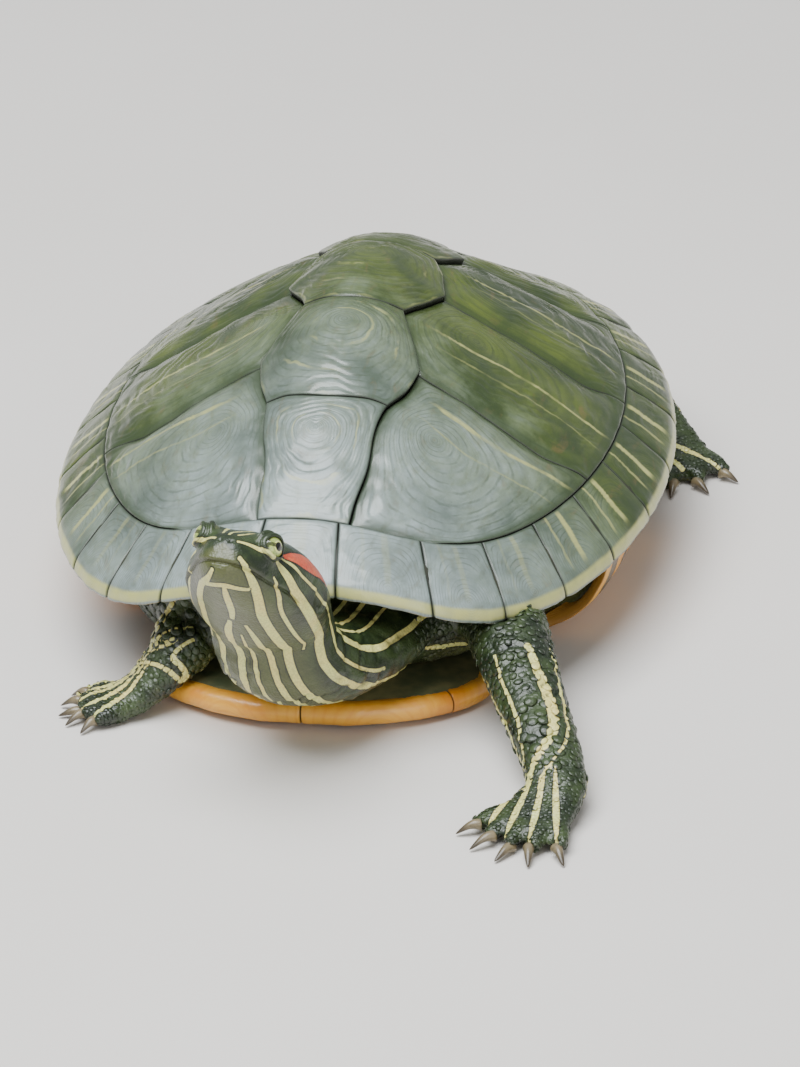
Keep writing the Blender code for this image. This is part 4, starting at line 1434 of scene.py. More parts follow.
@dataclass
class Skin:
    """The one skin over all the flesh."""

    form: ShellForm
    head: HeadAxes
    chart: "Chart"
    voxel: float = 0.00114
    swell: float = 0.00055  # closes the gaps between the solids before they are joined
    depth: float = 0.00020  # how far the skin lies inside the solids, under the scales
    hidden: float = 0.66  # radius inside which the plastron hides the skin
    roof_reach: float = 0.80  # and the dome
    floor_height: float = 0.0110
    neck_pitch: float = 6.6  # from fold to fold, in millimetres
    limb_pitch: float = 6.0
    fold: float = 0.00105  # depth of the deepest folds
    clearance: float = 0.0001  # under the lowest skin

    def gathered(self) -> bmesh.types.BMesh:
        """Return the solids of the flesh in one mesh, each grown a little."""
        joined = bmesh.new()
        for name in (*FLESH, "eye_left", "eye_right"):
            part = bmesh.new()
            part.from_mesh(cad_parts[name].data)
            bmesh.ops.remove_doubles(part, verts=part.verts, dist=2e-6)
            part.normal_update()
            steps = [self.swell * min(1.6, vert.calc_shell_factor()) for vert in part.verts]
            moves = [vert.normal * step for vert, step in zip(part.verts, steps)]
            for vert, move in zip(part.verts, moves):
                vert.co += move
            data = bpy.data.meshes.new("part")
            part.to_mesh(data)
            part.free()
            joined.from_mesh(data)
            bpy.data.meshes.remove(data)
        return joined

    def remeshed(self) -> Mesh:
        """Return the joined flesh as one even mesh, coarse where the shell hides it."""
        piece = new_piece("flesh", self.gathered())
        step = piece.modifiers.new("voxels", "REMESH")
        step.mode = "VOXEL"
        step.voxel_size = self.voxel
        data = applied(piece)
        rows = relax(to_rows(data), edges_of(data), 3)
        from_rows(data, rows)
        piece = new_piece("flesh", data)
        deep = np.nonzero(self.is_deep(rows))[0]
        group = piece.vertex_groups.new(name="hidden")
        group.add(deep.tolist(), 1.0, "REPLACE")
        step = piece.modifiers.new("coarser", "DECIMATE")
        step.vertex_group = "hidden"
        step.ratio = 1 - 0.93 * len(deep) / len(rows)
        return applied(piece)

    def is_deep(self, rows: Array) -> Array:
        """Return which places lie close against the inside of the shell, where nothing shows."""
        radius, phi = self.form.polar(rows[:, 0], rows[:, 1])
        roof = self.form.point(radius, phi)[:, 2] - self.form.thickness - rows[:, 2]
        under_dome = (roof < 0.0040) & (radius < self.roof_reach)
        on_floor = (rows[:, 2] < self.floor_height) & (radius < self.hidden)
        return under_dome | on_floor | (radius < self.hidden - 0.1)

    def settle(self, data: Mesh) -> None:
        """Even out the facets of the solids, then bring the skin back to their surface."""
        tree = tree_of(data)
        edges = edges_of(data)
        rows = to_rows(data)
        deep = self.is_deep(rows)
        foot = ease(0.011, 0.016, rows[:, 2])
        share = np.where(deep, 0.0, 0.15 + 0.40 * foot)
        rows = relax(rows, edges, 14, share)
        from_rows(data, rows)
        off = np.array([self.offset(tree, row) for row in rows.tolist()])
        off = relax(off, edges, 10)
        move = np.where(deep, 0.0, off + self.swell + self.depth)
        from_rows(data, rows - normals_of(data) * move[:, None])

    @staticmethod
    def offset(tree: BVHTree, place: Sequence[float]) -> float:
        """Return how far a place is outside a surface."""
        spot, normal, _, _ = tree.find_nearest(place)
        return (Vector(place) - spot).dot(normal)

    @staticmethod
    def refine(data: Mesh, chosen: Array) -> None:
        """Split in four the faces whose corners are all chosen."""
        with opened(data) as mesh:
            mesh.verts.ensure_lookup_table()
            picked = {mesh.verts[number] for number in np.nonzero(chosen)[0].tolist()}
            edges = [e for e in mesh.edges if e.verts[0] in picked and e.verts[1] in picked]
            bmesh.ops.subdivide_edges(mesh, edges=edges, cuts=1, use_grid_fill=True)

    def creases(self, rows: Array) -> Array:
        """Return how deep the folds of loose skin are at each place, from 0 to 1."""
        lie = self.chart.read(rows)
        along, region = lie.along / MM, lie.region
        wander = 0.9 * ripple(rows, 0.020, 5) + 0.35 * ripple(rows, 0.008, 6)
        on_neck = region == Region.HEAD.value
        turn = along / np.where(on_neck, self.neck_pitch, self.limb_pitch) + wander * 0.42
        fold = (1 - np.abs(np.sin(math.pi * turn))) ** 2.2
        loose_neck = 1 - ease(-14, -3, along)
        loose_limb = 0.35 + 0.65 * (1 - ease(-26, -12, along))
        return fold * np.where(on_neck, loose_neck, loose_limb) * (0.70 + 0.30 * ripple(rows, 0.013, 7))

    def build(self) -> Piece:
        """Return the skin with its head's fine shapes and its folds."""
        data = self.remeshed()
        self.settle(data)
        ahead, left, up = self.head.local(to_rows(data)).T
        self.refine(data, (ahead > -1.5) & (np.hypot(left, up) < 26))
        rows = to_rows(data)
        face = Face(self.head)
        eyes = [Eye(self.head, side) for side in (1, -1)]
        ahead, left, up = self.head.local(rows).T
        at_mouth = (ahead > face.corner - 2) & (np.hypot(left, up) < 24)
        at_mouth &= np.abs(face.mouth(ahead) - up) < 2.2
        at_eyes = np.minimum.reduce([eye.looked(rows)[1] for eye in eyes]) < 0.0085
        self.refine(data, at_mouth | at_eyes | (ahead > 43.5))
        rows = to_rows(data)
        ahead = self.head.local(rows)[:, 0]
        rows = relax(rows, edges_of(data), 2, ease(-1.5, 1.0, ahead) * 0.5)
        from_rows(data, rows)
        rough = 0.10 * ripple(rows, 0.0060, 21) + 0.07 * ripple(rows, 0.0028, 22)
        on_head = np.linalg.norm(rows - np.array(self.head.joint), axis=1) < 0.055
        smooth_head = ease(0, 12, self.head.local(rows)[:, 0]) * on_head
        crease = self.creases(rows)
        out = rough * (1 - 0.75 * smooth_head) * MM - crease * self.fold
        out = np.where(self.is_deep(rows), 0.0, out) + face.pushed(rows)
        rows = rows + normals_of(data) * out[:, None]
        for eye in eyes:
            rows = eye.seated(rows)
        rows[:, 2] = np.maximum(rows[:, 2], self.clearance)
        from_rows(data, rows)
        # The fold depth is also read by the skin material, which paints shade into the folds.
        store(data, "crease", crease)
        return new_piece("skin", data)


def applied(piece: Piece) -> Mesh:
    """Return a piece's mesh with its modifiers applied, and remove the piece."""
    graph = bpy.context.evaluated_depsgraph_get()
    data = bpy.data.meshes.new_from_object(piece.evaluated_get(graph))
    bpy.data.objects.remove(piece)
    return data


def tree_of(data: Mesh) -> BVHTree:
    """Return a search tree over a mesh's faces."""
    mesh = bmesh.new()
    mesh.from_mesh(data)
    tree = BVHTree.FromBMesh(mesh)
    mesh.free()
    return tree


# Where things lie on the skin


class Region(Enum):
    """The parts of the skin, each with its own line along it."""

    HEAD = 0
    FORELEG_LEFT = 1
    FORELEG_RIGHT = 2
    HINDLEG_LEFT = 3
    HINDLEG_RIGHT = 4
    TAIL = 5


LIMBS = (Region.FORELEG_LEFT, Region.FORELEG_RIGHT, Region.HINDLEG_LEFT, Region.HINDLEG_RIGHT)


@dataclass(frozen=True)
class Lie:
    """Where places are: the part of the skin, how far along its line, the turn round it, the way ahead."""

    region: Array
    along: Array
    turn: Array
    ahead: Array


class Chart:
    """The skin's own directions."""

    def __init__(self, head: HeadAxes) -> None:
        """Lay the lines and a search tree over places on them."""
        self.spines = {Region.HEAD: Spine.of_head(head), Region.TAIL: Spine.of_tail()}
        for region in LIMBS:
            leg = region.name.lower()
            self.spines[region] = Spine.of_limb(leg, leg.replace("leg", "foot"))
        parts = []
        for region, spine in self.spines.items():
            along = np.arange(spine.start, spine.end + 0.012, 0.0008)
            places, ahead, left, up = spine.axes(along)
            number = np.full(len(along), float(region.value))
            parts.append(np.column_stack([places, ahead, left, up, along, number]))
        self.samples = np.concatenate(parts)
        self.tree = search_tree(self.samples[:, :3])

    def read(self, rows: Array) -> Lie:
        """Return where places lie."""
        found = self.samples[[self.tree.find(row)[1] for row in rows.tolist()]]
        offset = rows - found[:, :3]
        ahead, left, up = found[:, 3:6], found[:, 6:9], found[:, 9:12]
        along = found[:, 12] + (offset * ahead).sum(axis=1)
        turn = np.arctan2((offset * left).sum(axis=1), -(offset * up).sum(axis=1))
        return Lie(found[:, 13].astype(int), along, turn, ahead)


@dataclass(frozen=True)
class Stripe:
    """A line on the skin.

    Each station is a distance along the part's line and a turn round it, in millimetres and degrees, and
    the line's half width there in millimetres.
    """

    region: Region
    stations: tuple[tuple[float, float, float], ...]

    def laid(self, chart: Chart, tree: BVHTree) -> Array:
        """Return places along the stripe as rows: the place, the way across it and the half width."""
        reach = sum(math.dist(a[:2], b[:2]) for a, b in zip(self.stations, self.stations[1:]))
        steps = max(16, int(reach * 2.2))
        order = np.linspace(0, 1, len(self.stations))
        along, turn, half = through(order, self.stations, np.linspace(0, 1, steps)).T
        found = chart.spines[self.region].on_skin(tree, along * MM, np.radians(turn))
        return with_sides(found, half)


def with_sides(found: list[tuple[int, Vector, Vector]], half: Array) -> Array:
    """Return places on the skin as rows with the way across the line they make, and its half width."""
    if len(found) < 3:
        return np.empty((0, 7))
    places = rounded(np.array([spot for _, spot, _ in found]), 4)
    normals = rounded(np.array([normal for _, _, normal in found]), 4)
    sides = unit(np.cross(normals, np.gradient(places, axis=0)))
    widths = half[[number for number, _, _ in found]]
    return np.column_stack([places, sides, np.maximum(widths, 0.05)])


class Marks:
    """Lines of one kind on the skin, and how every place lies to the nearest of them."""

    def __init__(self, parts: list[Array]) -> None:
        """Gather the lines' places and lay a search tree over them."""
        self.samples = np.concatenate(parts)
        self.tree = search_tree(self.samples[:, :3])

    def read(self, roots: Array, rows: Array, owner: Array, slack: Array) -> Array:
        """Return how places lie to the line nearest their roots.

        Args:
            roots: Places on the skin.
            rows: The places to read, each near its root.
            owner: The number of each one's root.
            slack: The mesh's spacing at each place, in millimetres.

        Returns:
            For each, how far it is across the line, how far from it less the slack, and the line's half
            width.
        """
        found = self.samples[[self.tree.find(root)[1] for root in roots.tolist()]][owner]
        offset = (rows - found[:, :3]) / MM
        across = (offset * found[:, 3:6]).sum(axis=1)
        half = found[:, 6]
        apart = np.linalg.norm(offset, axis=1) - np.maximum(slack - 0.6 * half, 0.15)
        return np.stack([across, apart, half], axis=-1)


def both_sides(*lines: tuple) -> list[Stripe]:
    """Return lines of the head on its left and on its right."""
    turned = [tuple((along, -turn, half) for along, turn, half in line) for line in lines]
    return [Stripe(Region.HEAD, line) for line in (*lines, *turned)]


CHIN_LINES = [
    Stripe(Region.HEAD, line)
    for line in (
        ((46, 58, 0.6), (42, 52, 0.8), (37, 47, 1.1), (24, 35, 1.3), (9, 35, 1.3), (-8, 38, 1.1),
         (-30, 44, 1.0), (-56, 50, 0.7)),
        ((46, -12, 0.5), (43, -20, 0.8), (37, -37, 1.0), (28, -45, 1.1), (14, -48, 1.1),
         (-8, -50, 1.0), (-30, -54, 0.9), (-56, -56, 0.7)),
        ((34.5, 96, 0.7), (32, 89, 1.1), (28, 80, 1.3), (21.5, 75, 1.3), (5, 70, 1.3), (-10, 70, 1.2),
         (-34, 74, 1.0), (-58, 78, 0.7)),
        ((34, -104, 0.7), (28, -93, 1.1), (21.5, -88, 1.2), (5, -84, 1.2), (-10, -82, 1.1),
         (-34, -82, 0.9), (-58, -84, 0.7)),
        ((35, 74, 0.3), (30, 64, 0.6), (25, 56, 0.55), (16, 53, 0.5), (4, 53, 0.45), (-6, 54, 0.4)),
        ((34, -76, 0.3), (28, -67, 0.6), (22, -65, 0.5), (8, -66, 0.5), (-6, -67, 0.4)),
        ((42, 8, 0.5), (36, 4, 0.9), (28, 0, 0.9), (22, -6, 0.6)),
        ((39, -34, 0.5), (41.5, -10, 0.8), (42, 12, 0.8), (38, 38, 0.5)),
        ((19, -13, 0.6), (11, -22, 1.1), (-5, -25, 1.1), (-24, -28, 1.0), (-56, -32, 0.7)),
        ((18, 8, 0.5), (9, 12, 0.9), (2.5, 13, 0.9), (-6, 16, 0.9), (-24, 21, 0.9), (-56, 26, 0.7)),
        ((12, -5, 0.3), (2, -7, 0.6), (-8, -7, 0.6), (-28, -4, 0.6), (-56, -2, 0.5)),
    )
]  # fmt: skip
SIDE_LINES = both_sides(
    ((46.0, 112, 0.35), (43, 106, 0.55), (39, 96, 0.50)),
    ((33, 106, 0.3), (29, 101, 0.5), (25, 95, 0.45), (16, 91, 0.5), (4, 89, 0.5), (-8, 88, 0.5),
     (-34, 88, 0.5)),
    ((44, 150, 0.3), (38, 152, 0.45), (30, 150, 0.5), (24, 146, 0.5), (10, 142, 0.6), (-8, 140, 0.7),
     (-50, 138, 0.6)),
    ((3, 116, 0.5), (-6, 112, 0.9), (-18, 108, 1.1), (-38, 104, 0.9), (-60, 100, 0.7)),
    ((14, 160, 0.25), (4, 160, 0.5), (-10, 159, 0.6), (-50, 157, 0.55)),
    ((-10, 124, 0.3), (-20, 124, 0.5), (-60, 120, 0.45)),
)  # fmt: skip
CROWN_LINES = [Stripe(Region.HEAD, ((45, 180, 0.3), (38, 180, 0.4), (28, 180, 0.35), (18, 180, 0.25)))]
EAR_PATCHES = both_sides(
    ((31.5, 110, 0.6), (28, 113, 1.7), (23, 114, 2.8), (17, 115, 3.2), (11, 115, 3.0), (6, 115, 1.9),
     (2.5, 115, 0.6))
)


def limb_lines(region: Region, start: float, end: float, *turns: tuple[float, float]) -> list[Stripe]:
    """Return lines down a limb, one for each turn and half width, tapering at both ends."""
    lines = []
    for number, (turn, half) in enumerate(turns):
        sway = 7 * math.sin(2.4 * number)
        middle = (start + end) / 2
        stations = ((start, turn - sway, half * 0.6), (middle, turn + sway, half), (end, turn, half * 0.5))
        lines.append(Stripe(region, stations))
    return lines


LIMB_LINES = [
    *limb_lines(Region.FORELEG_LEFT, -46, 3,
                (168, 1.5), (-128, 0.55), (-88, 0.75), (128, 0.5), (84, 0.6), (-30, 0.6), (35, 0.6)),
    *limb_lines(Region.FORELEG_RIGHT, -27, 2,
                (-165, 1.3), (150, 0.5), (104, 0.8), (-112, 0.5), (-60, 0.6), (30, 0.6)),
    *limb_lines(Region.HINDLEG_LEFT, -28, 2,
                (176, 0.6), (140, 0.45), (-140, 0.6), (-95, 0.5), (90, 0.5), (-40, 0.6)),
    *limb_lines(Region.HINDLEG_RIGHT, -40, 2,
                (176, 0.6), (-140, 0.45), (140, 0.6), (95, 0.5), (-90, 0.5), (40, 0.6)),
    *limb_lines(Region.TAIL, 4, 52, (180, 0.5), (125, 0.45), (-125, 0.45), (70, 0.4), (-70, 0.4)),
]  # fmt: skip


class Toes:
    """The pale lines down the toes, from the wrist to each claw."""

    def __init__(self, chart: Chart, tree: BVHTree) -> None:
        """Keep the skin's directions and its faces."""
        self.chart = chart
        self.tree = tree

    def laid(self, region: Region) -> list[Array]:
        """Return the lines of one foot as places with sides and widths."""
        foot = region.name.lower().replace("leg", "foot")
        places, _, left, _ = self.chart.spines[region].axes(np.array([-0.002]))
        lines = []
        for node in sorted(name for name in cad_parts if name.startswith(foot + "_claw_")):
            rows = node_rows(node)
            inner = rows[np.argsort(np.linalg.norm(rows - places[0], axis=1))[:8]].mean(axis=0)
            start = places[0] + left[0] * np.dot(inner - places[0], left[0]) * 0.42
            share = np.linspace(0.0, 1.0, 26)
            path = start + (inner - start) * share[:, None]
            path[:, 2] = np.maximum(path[:, 2], blend(places[0][2], inner[2], share)) + 0.012
            found = []
            for number, place in enumerate(path.tolist()):
                spot, normal, _, _ = self.tree.ray_cast(place, (0, 0, -1), 0.03)
                if spot is not None:
                    found.append((number, spot, normal))
            lines.append(with_sides(found, 0.22 + 0.62 * np.sin(math.pi * np.clip(share, 0, 0.9)) ** 0.7))
        return lines


class Markings:
    """All that the skin's colours follow, kept on its mesh and on the scales alike."""

    def __init__(self, chart: Chart, tree: BVHTree) -> None:
        """Lay every line on the skin."""
        toes = Toes(chart, tree)
        self.chart = chart
        lines = [line.laid(chart, tree) for line in (*CHIN_LINES, *SIDE_LINES, *CROWN_LINES, *LIMB_LINES)]
        self.lines = Marks(lines + [line for limb in LIMBS for line in toes.laid(limb)])
        self.ear = Marks([line.laid(chart, tree) for line in EAR_PATCHES])

    def paint(self, data: Mesh, roots: Array | None = None, owner: Array | None = None) -> None:
        """Keep the markings on a mesh.

        Args:
            data: The mesh.
            roots: Places on the skin that its pieces grow from, or None for the skin itself.
            owner: The number of the root of each vertex.
        """
        rows = to_rows(data)
        roots = rows if roots is None else roots
        owner = np.arange(len(rows)) if owner is None else owner
        lie = self.chart.read(roots)
        fine = (lie.region == Region.HEAD.value) & (lie.along > 0)
        slack = np.where(fine, 0.42, 0.78)[owner]
        for name, marks in (("line", self.lines), ("ear", self.ear)):
            store(data, name, marks.read(roots, rows, owner, slack))
        below = ease(0.25, 0.85, np.cos(lie.turn))
        store(data, "below", below[owner])
        store(data, "lie", np.stack([lie.along / MM, lie.turn, lie.region.astype(float)], axis=-1)[owner])


@dataclass
class Scales:
    """The scales of one part of the skin as one joined mesh of small domed plates."""

    region: Region
    start: float  # distance along in millimetres where they begin
    size: float = 2.6  # in millimetres, above the wrist
    foot_size: float = 1.7  # on the foot
    rise: float = 0.16  # height, share of the size
    seed: int = 5
    SPACING = 0.74  # share of the size that roots keep apart
    FADE = 16.0  # millimetres over which they grow from half to full size
    TILE = 1 / 3  # of the unwrap, for each part of the skin
    PATCH = 0.003  # of the unwrap, for each scale

    def sizes(self, lie: Lie) -> Array:
        """Return the size of a scale at each place, in metres."""
        along = lie.along / MM
        shin = ease(-40, -22, along) * (1 - ease(-8, 0, along))
        large = 1 + 0.45 * ease(0.2, 0.9, -np.cos(lie.turn)) * shin
        young = blend(0.5, 1.0, ease(self.start, self.start + self.FADE, along))
        return blend(self.size, self.foot_size, ease(-7, 3, along)) * large * young * MM

    def roots(self, skin: Mesh, chart: Chart, shown: Array) -> tuple[Array, Array, Array, Lie]:
        """Choose the places that scales grow from, evenly apart.

        Args:
            skin: The skin's mesh.
            chart: Its directions.
            shown: Which of its vertices show.

        Returns:
            The places, with the skin's normal, the size and the lie at each.
        """
        rows, normals = to_rows(skin), normals_of(skin)
        lie = chart.read(rows)
        chosen = (lie.region == self.region.value) & (lie.along > self.start * MM) & shown
        picks = np.nonzero(chosen)[0]
        size = self.sizes(lie)
        tree = search_tree(rows[picks])
        free = np.ones(len(picks), bool)
        kept = []
        for order in np.random.default_rng(self.seed).permutation(len(picks)).tolist():
            if free[order]:
                kept.append(picks[order])
                for _, near, _ in tree.find_range(rows[picks[order]], size[picks[order]] * self.SPACING):
                    free[near] = False
        kept = np.array(kept)
        where = Lie(lie.region[kept], lie.along[kept], lie.turn[kept], lie.ahead[kept])
        return rows[kept], normals[kept], size[kept], where

    @staticmethod
    def template(count: int) -> tuple[Mesh, Array]:
        """Return count copies of one flattened ball in one mesh, and the ball's own places."""
        mesh = bmesh.new()
        bmesh.ops.create_uvsphere(mesh, u_segments=10, v_segments=4, radius=1.0)
        piece = new_piece("scale", mesh)
        rows = to_rows(piece.data)
        step = piece.modifiers.new("copies", "ARRAY")
        step.count = count
        step.use_relative_offset = False
        return applied(piece), rows

    def build(self, skin: Mesh, markings: Markings, shown: Array) -> Piece:
        """Return the scales, lying on the skin and pointing down the limb."""
        places, normals, size, lie = self.roots(skin, markings.chart, shown)
        data, ball = self.template(len(places))
        source = np.random.default_rng(self.seed + 1)
        ahead = unit(lie.ahead - normals * (lie.ahead * normals).sum(axis=1)[:, None])
        across = np.cross(normals, ahead)
        spread = np.repeat(np.arange(len(places)), len(ball))
        shape = np.tile(ball, (len(places), 1))
        square = np.abs(shape[:, 0]) ** 1.5 * 0.10
        wide = size * source.uniform(0.50, 0.60, len(places))
        long = size * source.uniform(0.42, 0.54, len(places))
        high = size * self.rise * source.uniform(0.8, 1.2, len(places))
        x = shape[:, 0] * wide[spread]
        y = (shape[:, 1] - square) * long[spread]
        z = (np.maximum(shape[:, 2], -0.4) - 0.30 + 0.30 * shape[:, 1]) * high[spread]
        rows = places[spread] + across[spread] * x[:, None] + ahead[spread] * y[:, None]
        rows = rows + normals[spread] * z[:, None]
        rows[:, 2] = np.maximum(rows[:, 2], 0.0)
        from_rows(data, rows)
        self.unwrap(data, lie, spread, shape)
        markings.paint(data, places, spread)
        data.shade_smooth()
        return new_piece("scales_" + self.region.name.lower(), data)

    def unwrap(self, data: Mesh, lie: Lie, owner: Array, shape: Array) -> None:
        """Give each scale a small patch at its root's place on the skin's unwrap, one tile for each part."""
        column, row = lie.region % 3, lie.region // 3
        u = (column + 0.04 + 0.92 * (lie.turn / (2 * math.pi) + 0.5)) * self.TILE
        v = (row + 0.04 + 0.92 * np.clip((lie.along + 0.08) / 0.16, 0, 1)) * self.TILE
        corner = fetched(data.loops, "vertex_index", 1, np.int32)[:, 0]
        spots = np.stack([u, v], axis=-1)[owner[corner]] + shape[corner, :2] * (self.PATCH / 2)
        layer = data.uv_layers.new(name="OFBake")
        layer.data.foreach_set("uv", spots.astype(np.float32).ravel())


@dataclass
class Claw:
    """One claw: a tapered horn, curved down, that grows out of a cuff of skin."""

    node: str
    back: float = 0.0012  # how far its root sits inside the toe
    half_width: float = 0.00160  # at the root
    top: float = 0.00165
    bottom: float = 0.00150
    arch: float = 0.0009
    rings: int = 16
    around: int = 18

    def build(self) -> Piece:
        """Return the claw along its solid."""
        rows = node_rows(self.node)
        foot = node_rows(self.node.split("_claw_")[0]).mean(axis=0)
        reach = np.linalg.norm(rows - foot, axis=1)
        tip = rows[np.argsort(reach)[-5:]].mean(axis=0)
        base = rows[np.argsort(reach)[:9]].mean(axis=0)
        way = (tip - base) * np.array([1, 1, 0])
        length = np.linalg.norm(way)
        way /= length
        side = np.cross([0, 0, 1.0], way)
        share = np.linspace(0, 1, self.rings)
        turn = np.linspace(0, 2 * math.pi, self.around, endpoint=False)
        rings = []
        for t in share:
            half = self.half_width * (1 - t) ** 0.62 + 0.00012
            over = self.top * (1 - t) ** 0.70 + 0.00010
            under = self.bottom * (1 - t) ** 0.9 + 0.00010
            centre = base + way * (length * 0.985 * t - self.back * (1 - t))
            centre = centre + np.array([0, 0, self.arch * math.sin(math.pi * t) * (1 - 0.35 * t)])
            centre[2] = max(blend(centre[2], tip[2], t**2), under + 0.00015)
            rise = np.where(np.sin(turn) > 0, over, under) * np.sin(turn)
            rings.append(centre + side * (np.cos(turn) * half)[:, None] + np.outer(rise, (0, 0, 1)))
        body = loft(np.array(rings), rings[0].mean(axis=0), rings[-1].mean(axis=0))
        piece = new_piece(self.node.replace("claw", "horn"), body)
        store(piece.data, "along", (to_rows(piece.data) - base) @ way / length)
        return piece


# Finishes


@dataclass(frozen=True)
class HornPlates:
    """Horn: olive at the edges, with growth rings, a grey-blue painted sky reflection on the front and the
    crown, and painted shade along the seams.
    """

    name: str
    leaf: tuple = (0.082, 0.112, 0.016)
    deep: tuple = (0.024, 0.042, 0.011)
    brown: tuple = (0.125, 0.085, 0.030)
    painted_sky_sheen: tuple = (0.285, 0.345, 0.360)
    pale: tuple = (0.400, 0.400, 0.140)
    seam: tuple = (0.012, 0.016, 0.010)
    valley: float = 0.5  # how wide the painted shade along the seams is
    shade: float = 0.50  # how dark that painted shade is
    grooves: float = 0.00006  # depth of the finest rings

    def lines(self, finish: Finish) -> Socket:
        """Return where the pale lines of the plates are, from 0 to 1: broken rings round the oldest part."""
        wander = finish.noise(finish.place(), 70.0, 3.0)
        rings = (finish.kept("growth") * 24.0 + wander * 7.0).sine().step(0.90, 0.99)
        return rings * wander.step(0.48, 0.62) * 0.45

    def cover(self, finish: Finish) -> None:
        """Add what covers the plates' other colours. Plates that lie flat have nothing."""

    def make(self) -> bpy.types.Material:
        """Return the material."""
        finish = Finish(self.name, roughness=0.4, coat_roughness=0.20)
        place = finish.place()
        x, y, _ = finish.parts(place)
        edge, growth = finish.kept("edge"), finish.kept("growth")
        cloud = finish.noise(place, 34.0, 5.0, 0.6)
        fine = finish.noise(place, 190.0, 4.0, 0.6)
        streak = finish.noise(finish.stretched(place, (260.0, 90.0, 260.0)), 1.0, 3.0, 0.6, 0.6)
        finish.ground = finish.colour(cloud.step(0.34, 0.66), self.deep, self.leaf)
        finish.coat(streak.step(0.56, 0.80) * 0.55, self.brown)
        ring = (growth * 58.0 + cloud * 9.0).sine()
        finish.coat(ring.step(0.2, 1.0) * 0.32, self.deep)
        # Painted sky reflection: a grey-blue sheen painted over the front of the shell, where the plates are
        # also made a little rougher.
        front = (y * -11.0 - x.absolute() * 4.5 + cloud * 1.4 - 0.73).held()
        wear_and_sheen = (front * (fine * 0.9 + cloud * 0.5 + 0.15)).held() * (0.86 - streak.step(0.45, 0.75) * 0.30)
        finish.coat(wear_and_sheen, self.painted_sky_sheen)
        line = (growth * 96.0 + cloud * 15.0).sine().step(0.55, 1.0) * fine.step(0.38, 0.60)
        finish.coat(line * 0.40, self.deep)
        pale = self.lines(finish) * (fine * 0.9 + 0.45)
        finish.coat(pale.held(), self.pale)
        # Painted shade: a dark band along the seams, where the plates dip into their grooves.
        valley = (edge + cloud * 2.4 - 1.2).step(4.4 * self.valley, 0.4) * (cloud + 0.45).held()
        finish.coat(valley * self.shade, self.deep)
        dark = edge.step(0.75, 0.10)
        finish.coat(dark * 0.92, self.seam)
        spots = finish.cells(place, 420.0).step(0.10, 0.04) * finish.noise(place, 60.0).step(0.50, 0.62)
        finish.coat(spots * 0.5, self.deep)
        rough = (cloud * 0.16 + fine * 0.14 + wear_and_sheen * 0.10 + dark * 0.25 + 0.22).held()
        rings = (growth * 150.0 + cloud * 22.0 + fine * 3.0).sine() * cloud.step(0.35, 0.62)
        relief = finish.bump(rings * 0.5 + fine, self.grooves, 0.8)
        relief = finish.bump(finish.cells(place, 900.0), 0.00003, 0.5, relief)
        self.cover(finish)
        return finish.made(roughness=rough, normal=relief, coat_weight=(0.55 - dark * 0.5).held())


@dataclass(frozen=True)
class PleuralHorn(HornPlates):
    """The large side plates, each with a pale bar down it."""

    # The painted shade along the seams is wider and darker here.
    valley: float = 1.15
    shade: float = 0.85

    def lines(self, finish: Finish) -> Socket:
        """Return where the bars are."""
        u, v, number = finish.kept_parts("plate")
        wander = finish.noise(finish.place(), 45.0, 3.0) * 0.05 - 0.025
        first = 1.0 - number.step(0.2, 0.8)
        bar = (v - 0.47 - first * 0.33 + wander - u * 0.03).absolute().step(0.017, 0.005)
        thin = (v - 0.33 - first * 0.34 + wander * 1.6).absolute().step(0.010, 0.003) * 0.4
        ends = u.step(0.10, 0.30) * u.step(0.99, 0.90)
        broken = finish.noise(finish.place(), 120.0, 4.0, 0.6).step(0.32, 0.55) * 0.6 + 0.2
        return bar.most(thin) * ends * broken


@dataclass(frozen=True)
class MarginalHorn(HornPlates):
    """The plates of the edge: a pale bar across each, a pale outer rim and a yellow underside."""

    grooves: float = 0.00004
    # The painted shade along the seams is narrow here.
    valley: float = 0.25
    under: tuple = (0.560, 0.330, 0.075)
    blotch: tuple = (0.035, 0.032, 0.018)

    def lines(self, finish: Finish) -> Socket:
        """Return where the bars and the rim are."""
        u, v, _ = finish.kept_parts("plate")
        place = finish.place()
        _, y, _ = finish.parts(place)
        wander = finish.noise(place, 60.0, 3.0) * 0.08 - 0.04
        bar = (u - 0.50 + wander).absolute().step(0.045, 0.018) * v.step(0.62, 0.50) * v.step(0.04, 0.12)
        side = (u - 0.30 + wander * 1.4).absolute().step(0.022, 0.008) * 0.6 * v.step(0.62, 0.50)
        behind = y.step(-0.090, -0.050) * 0.85 + 0.15
        rim = (v + wander * 0.3 - 0.655).absolute().step(0.040, 0.018)
        return (bar.most(side) * behind).most(rim)

    def cover(self, finish: Finish) -> None:
        """Add the dark blotches at the seams and the yellow underside."""
        place = finish.place()
        _, y, _ = finish.parts(place)
        u, v, _ = finish.kept_parts("plate")
        cloud = finish.noise(place, 80.0, 4.0)
        corner = ((u - 0.5).absolute() + cloud * 0.16).step(0.44, 0.56)
        corner = corner * v.step(0.18, 0.40) * v.step(0.62, 0.56)
        finish.coat(corner * y.step(-0.085, -0.050) * 0.6, self.deep)
        spot = ((u - 0.5) ** 2.0 * 3.2 + (v - 0.84) ** 2.0 * 9.0 + cloud * 0.10).step(0.26, 0.19)
        under = finish.colour(spot, self.under, self.blotch)
        under = finish.colour(finish.kept("edge").step(0.6, 0.1) * 0.8, under, self.blotch)
        finish.coat(v.step(0.70, 0.74), under)


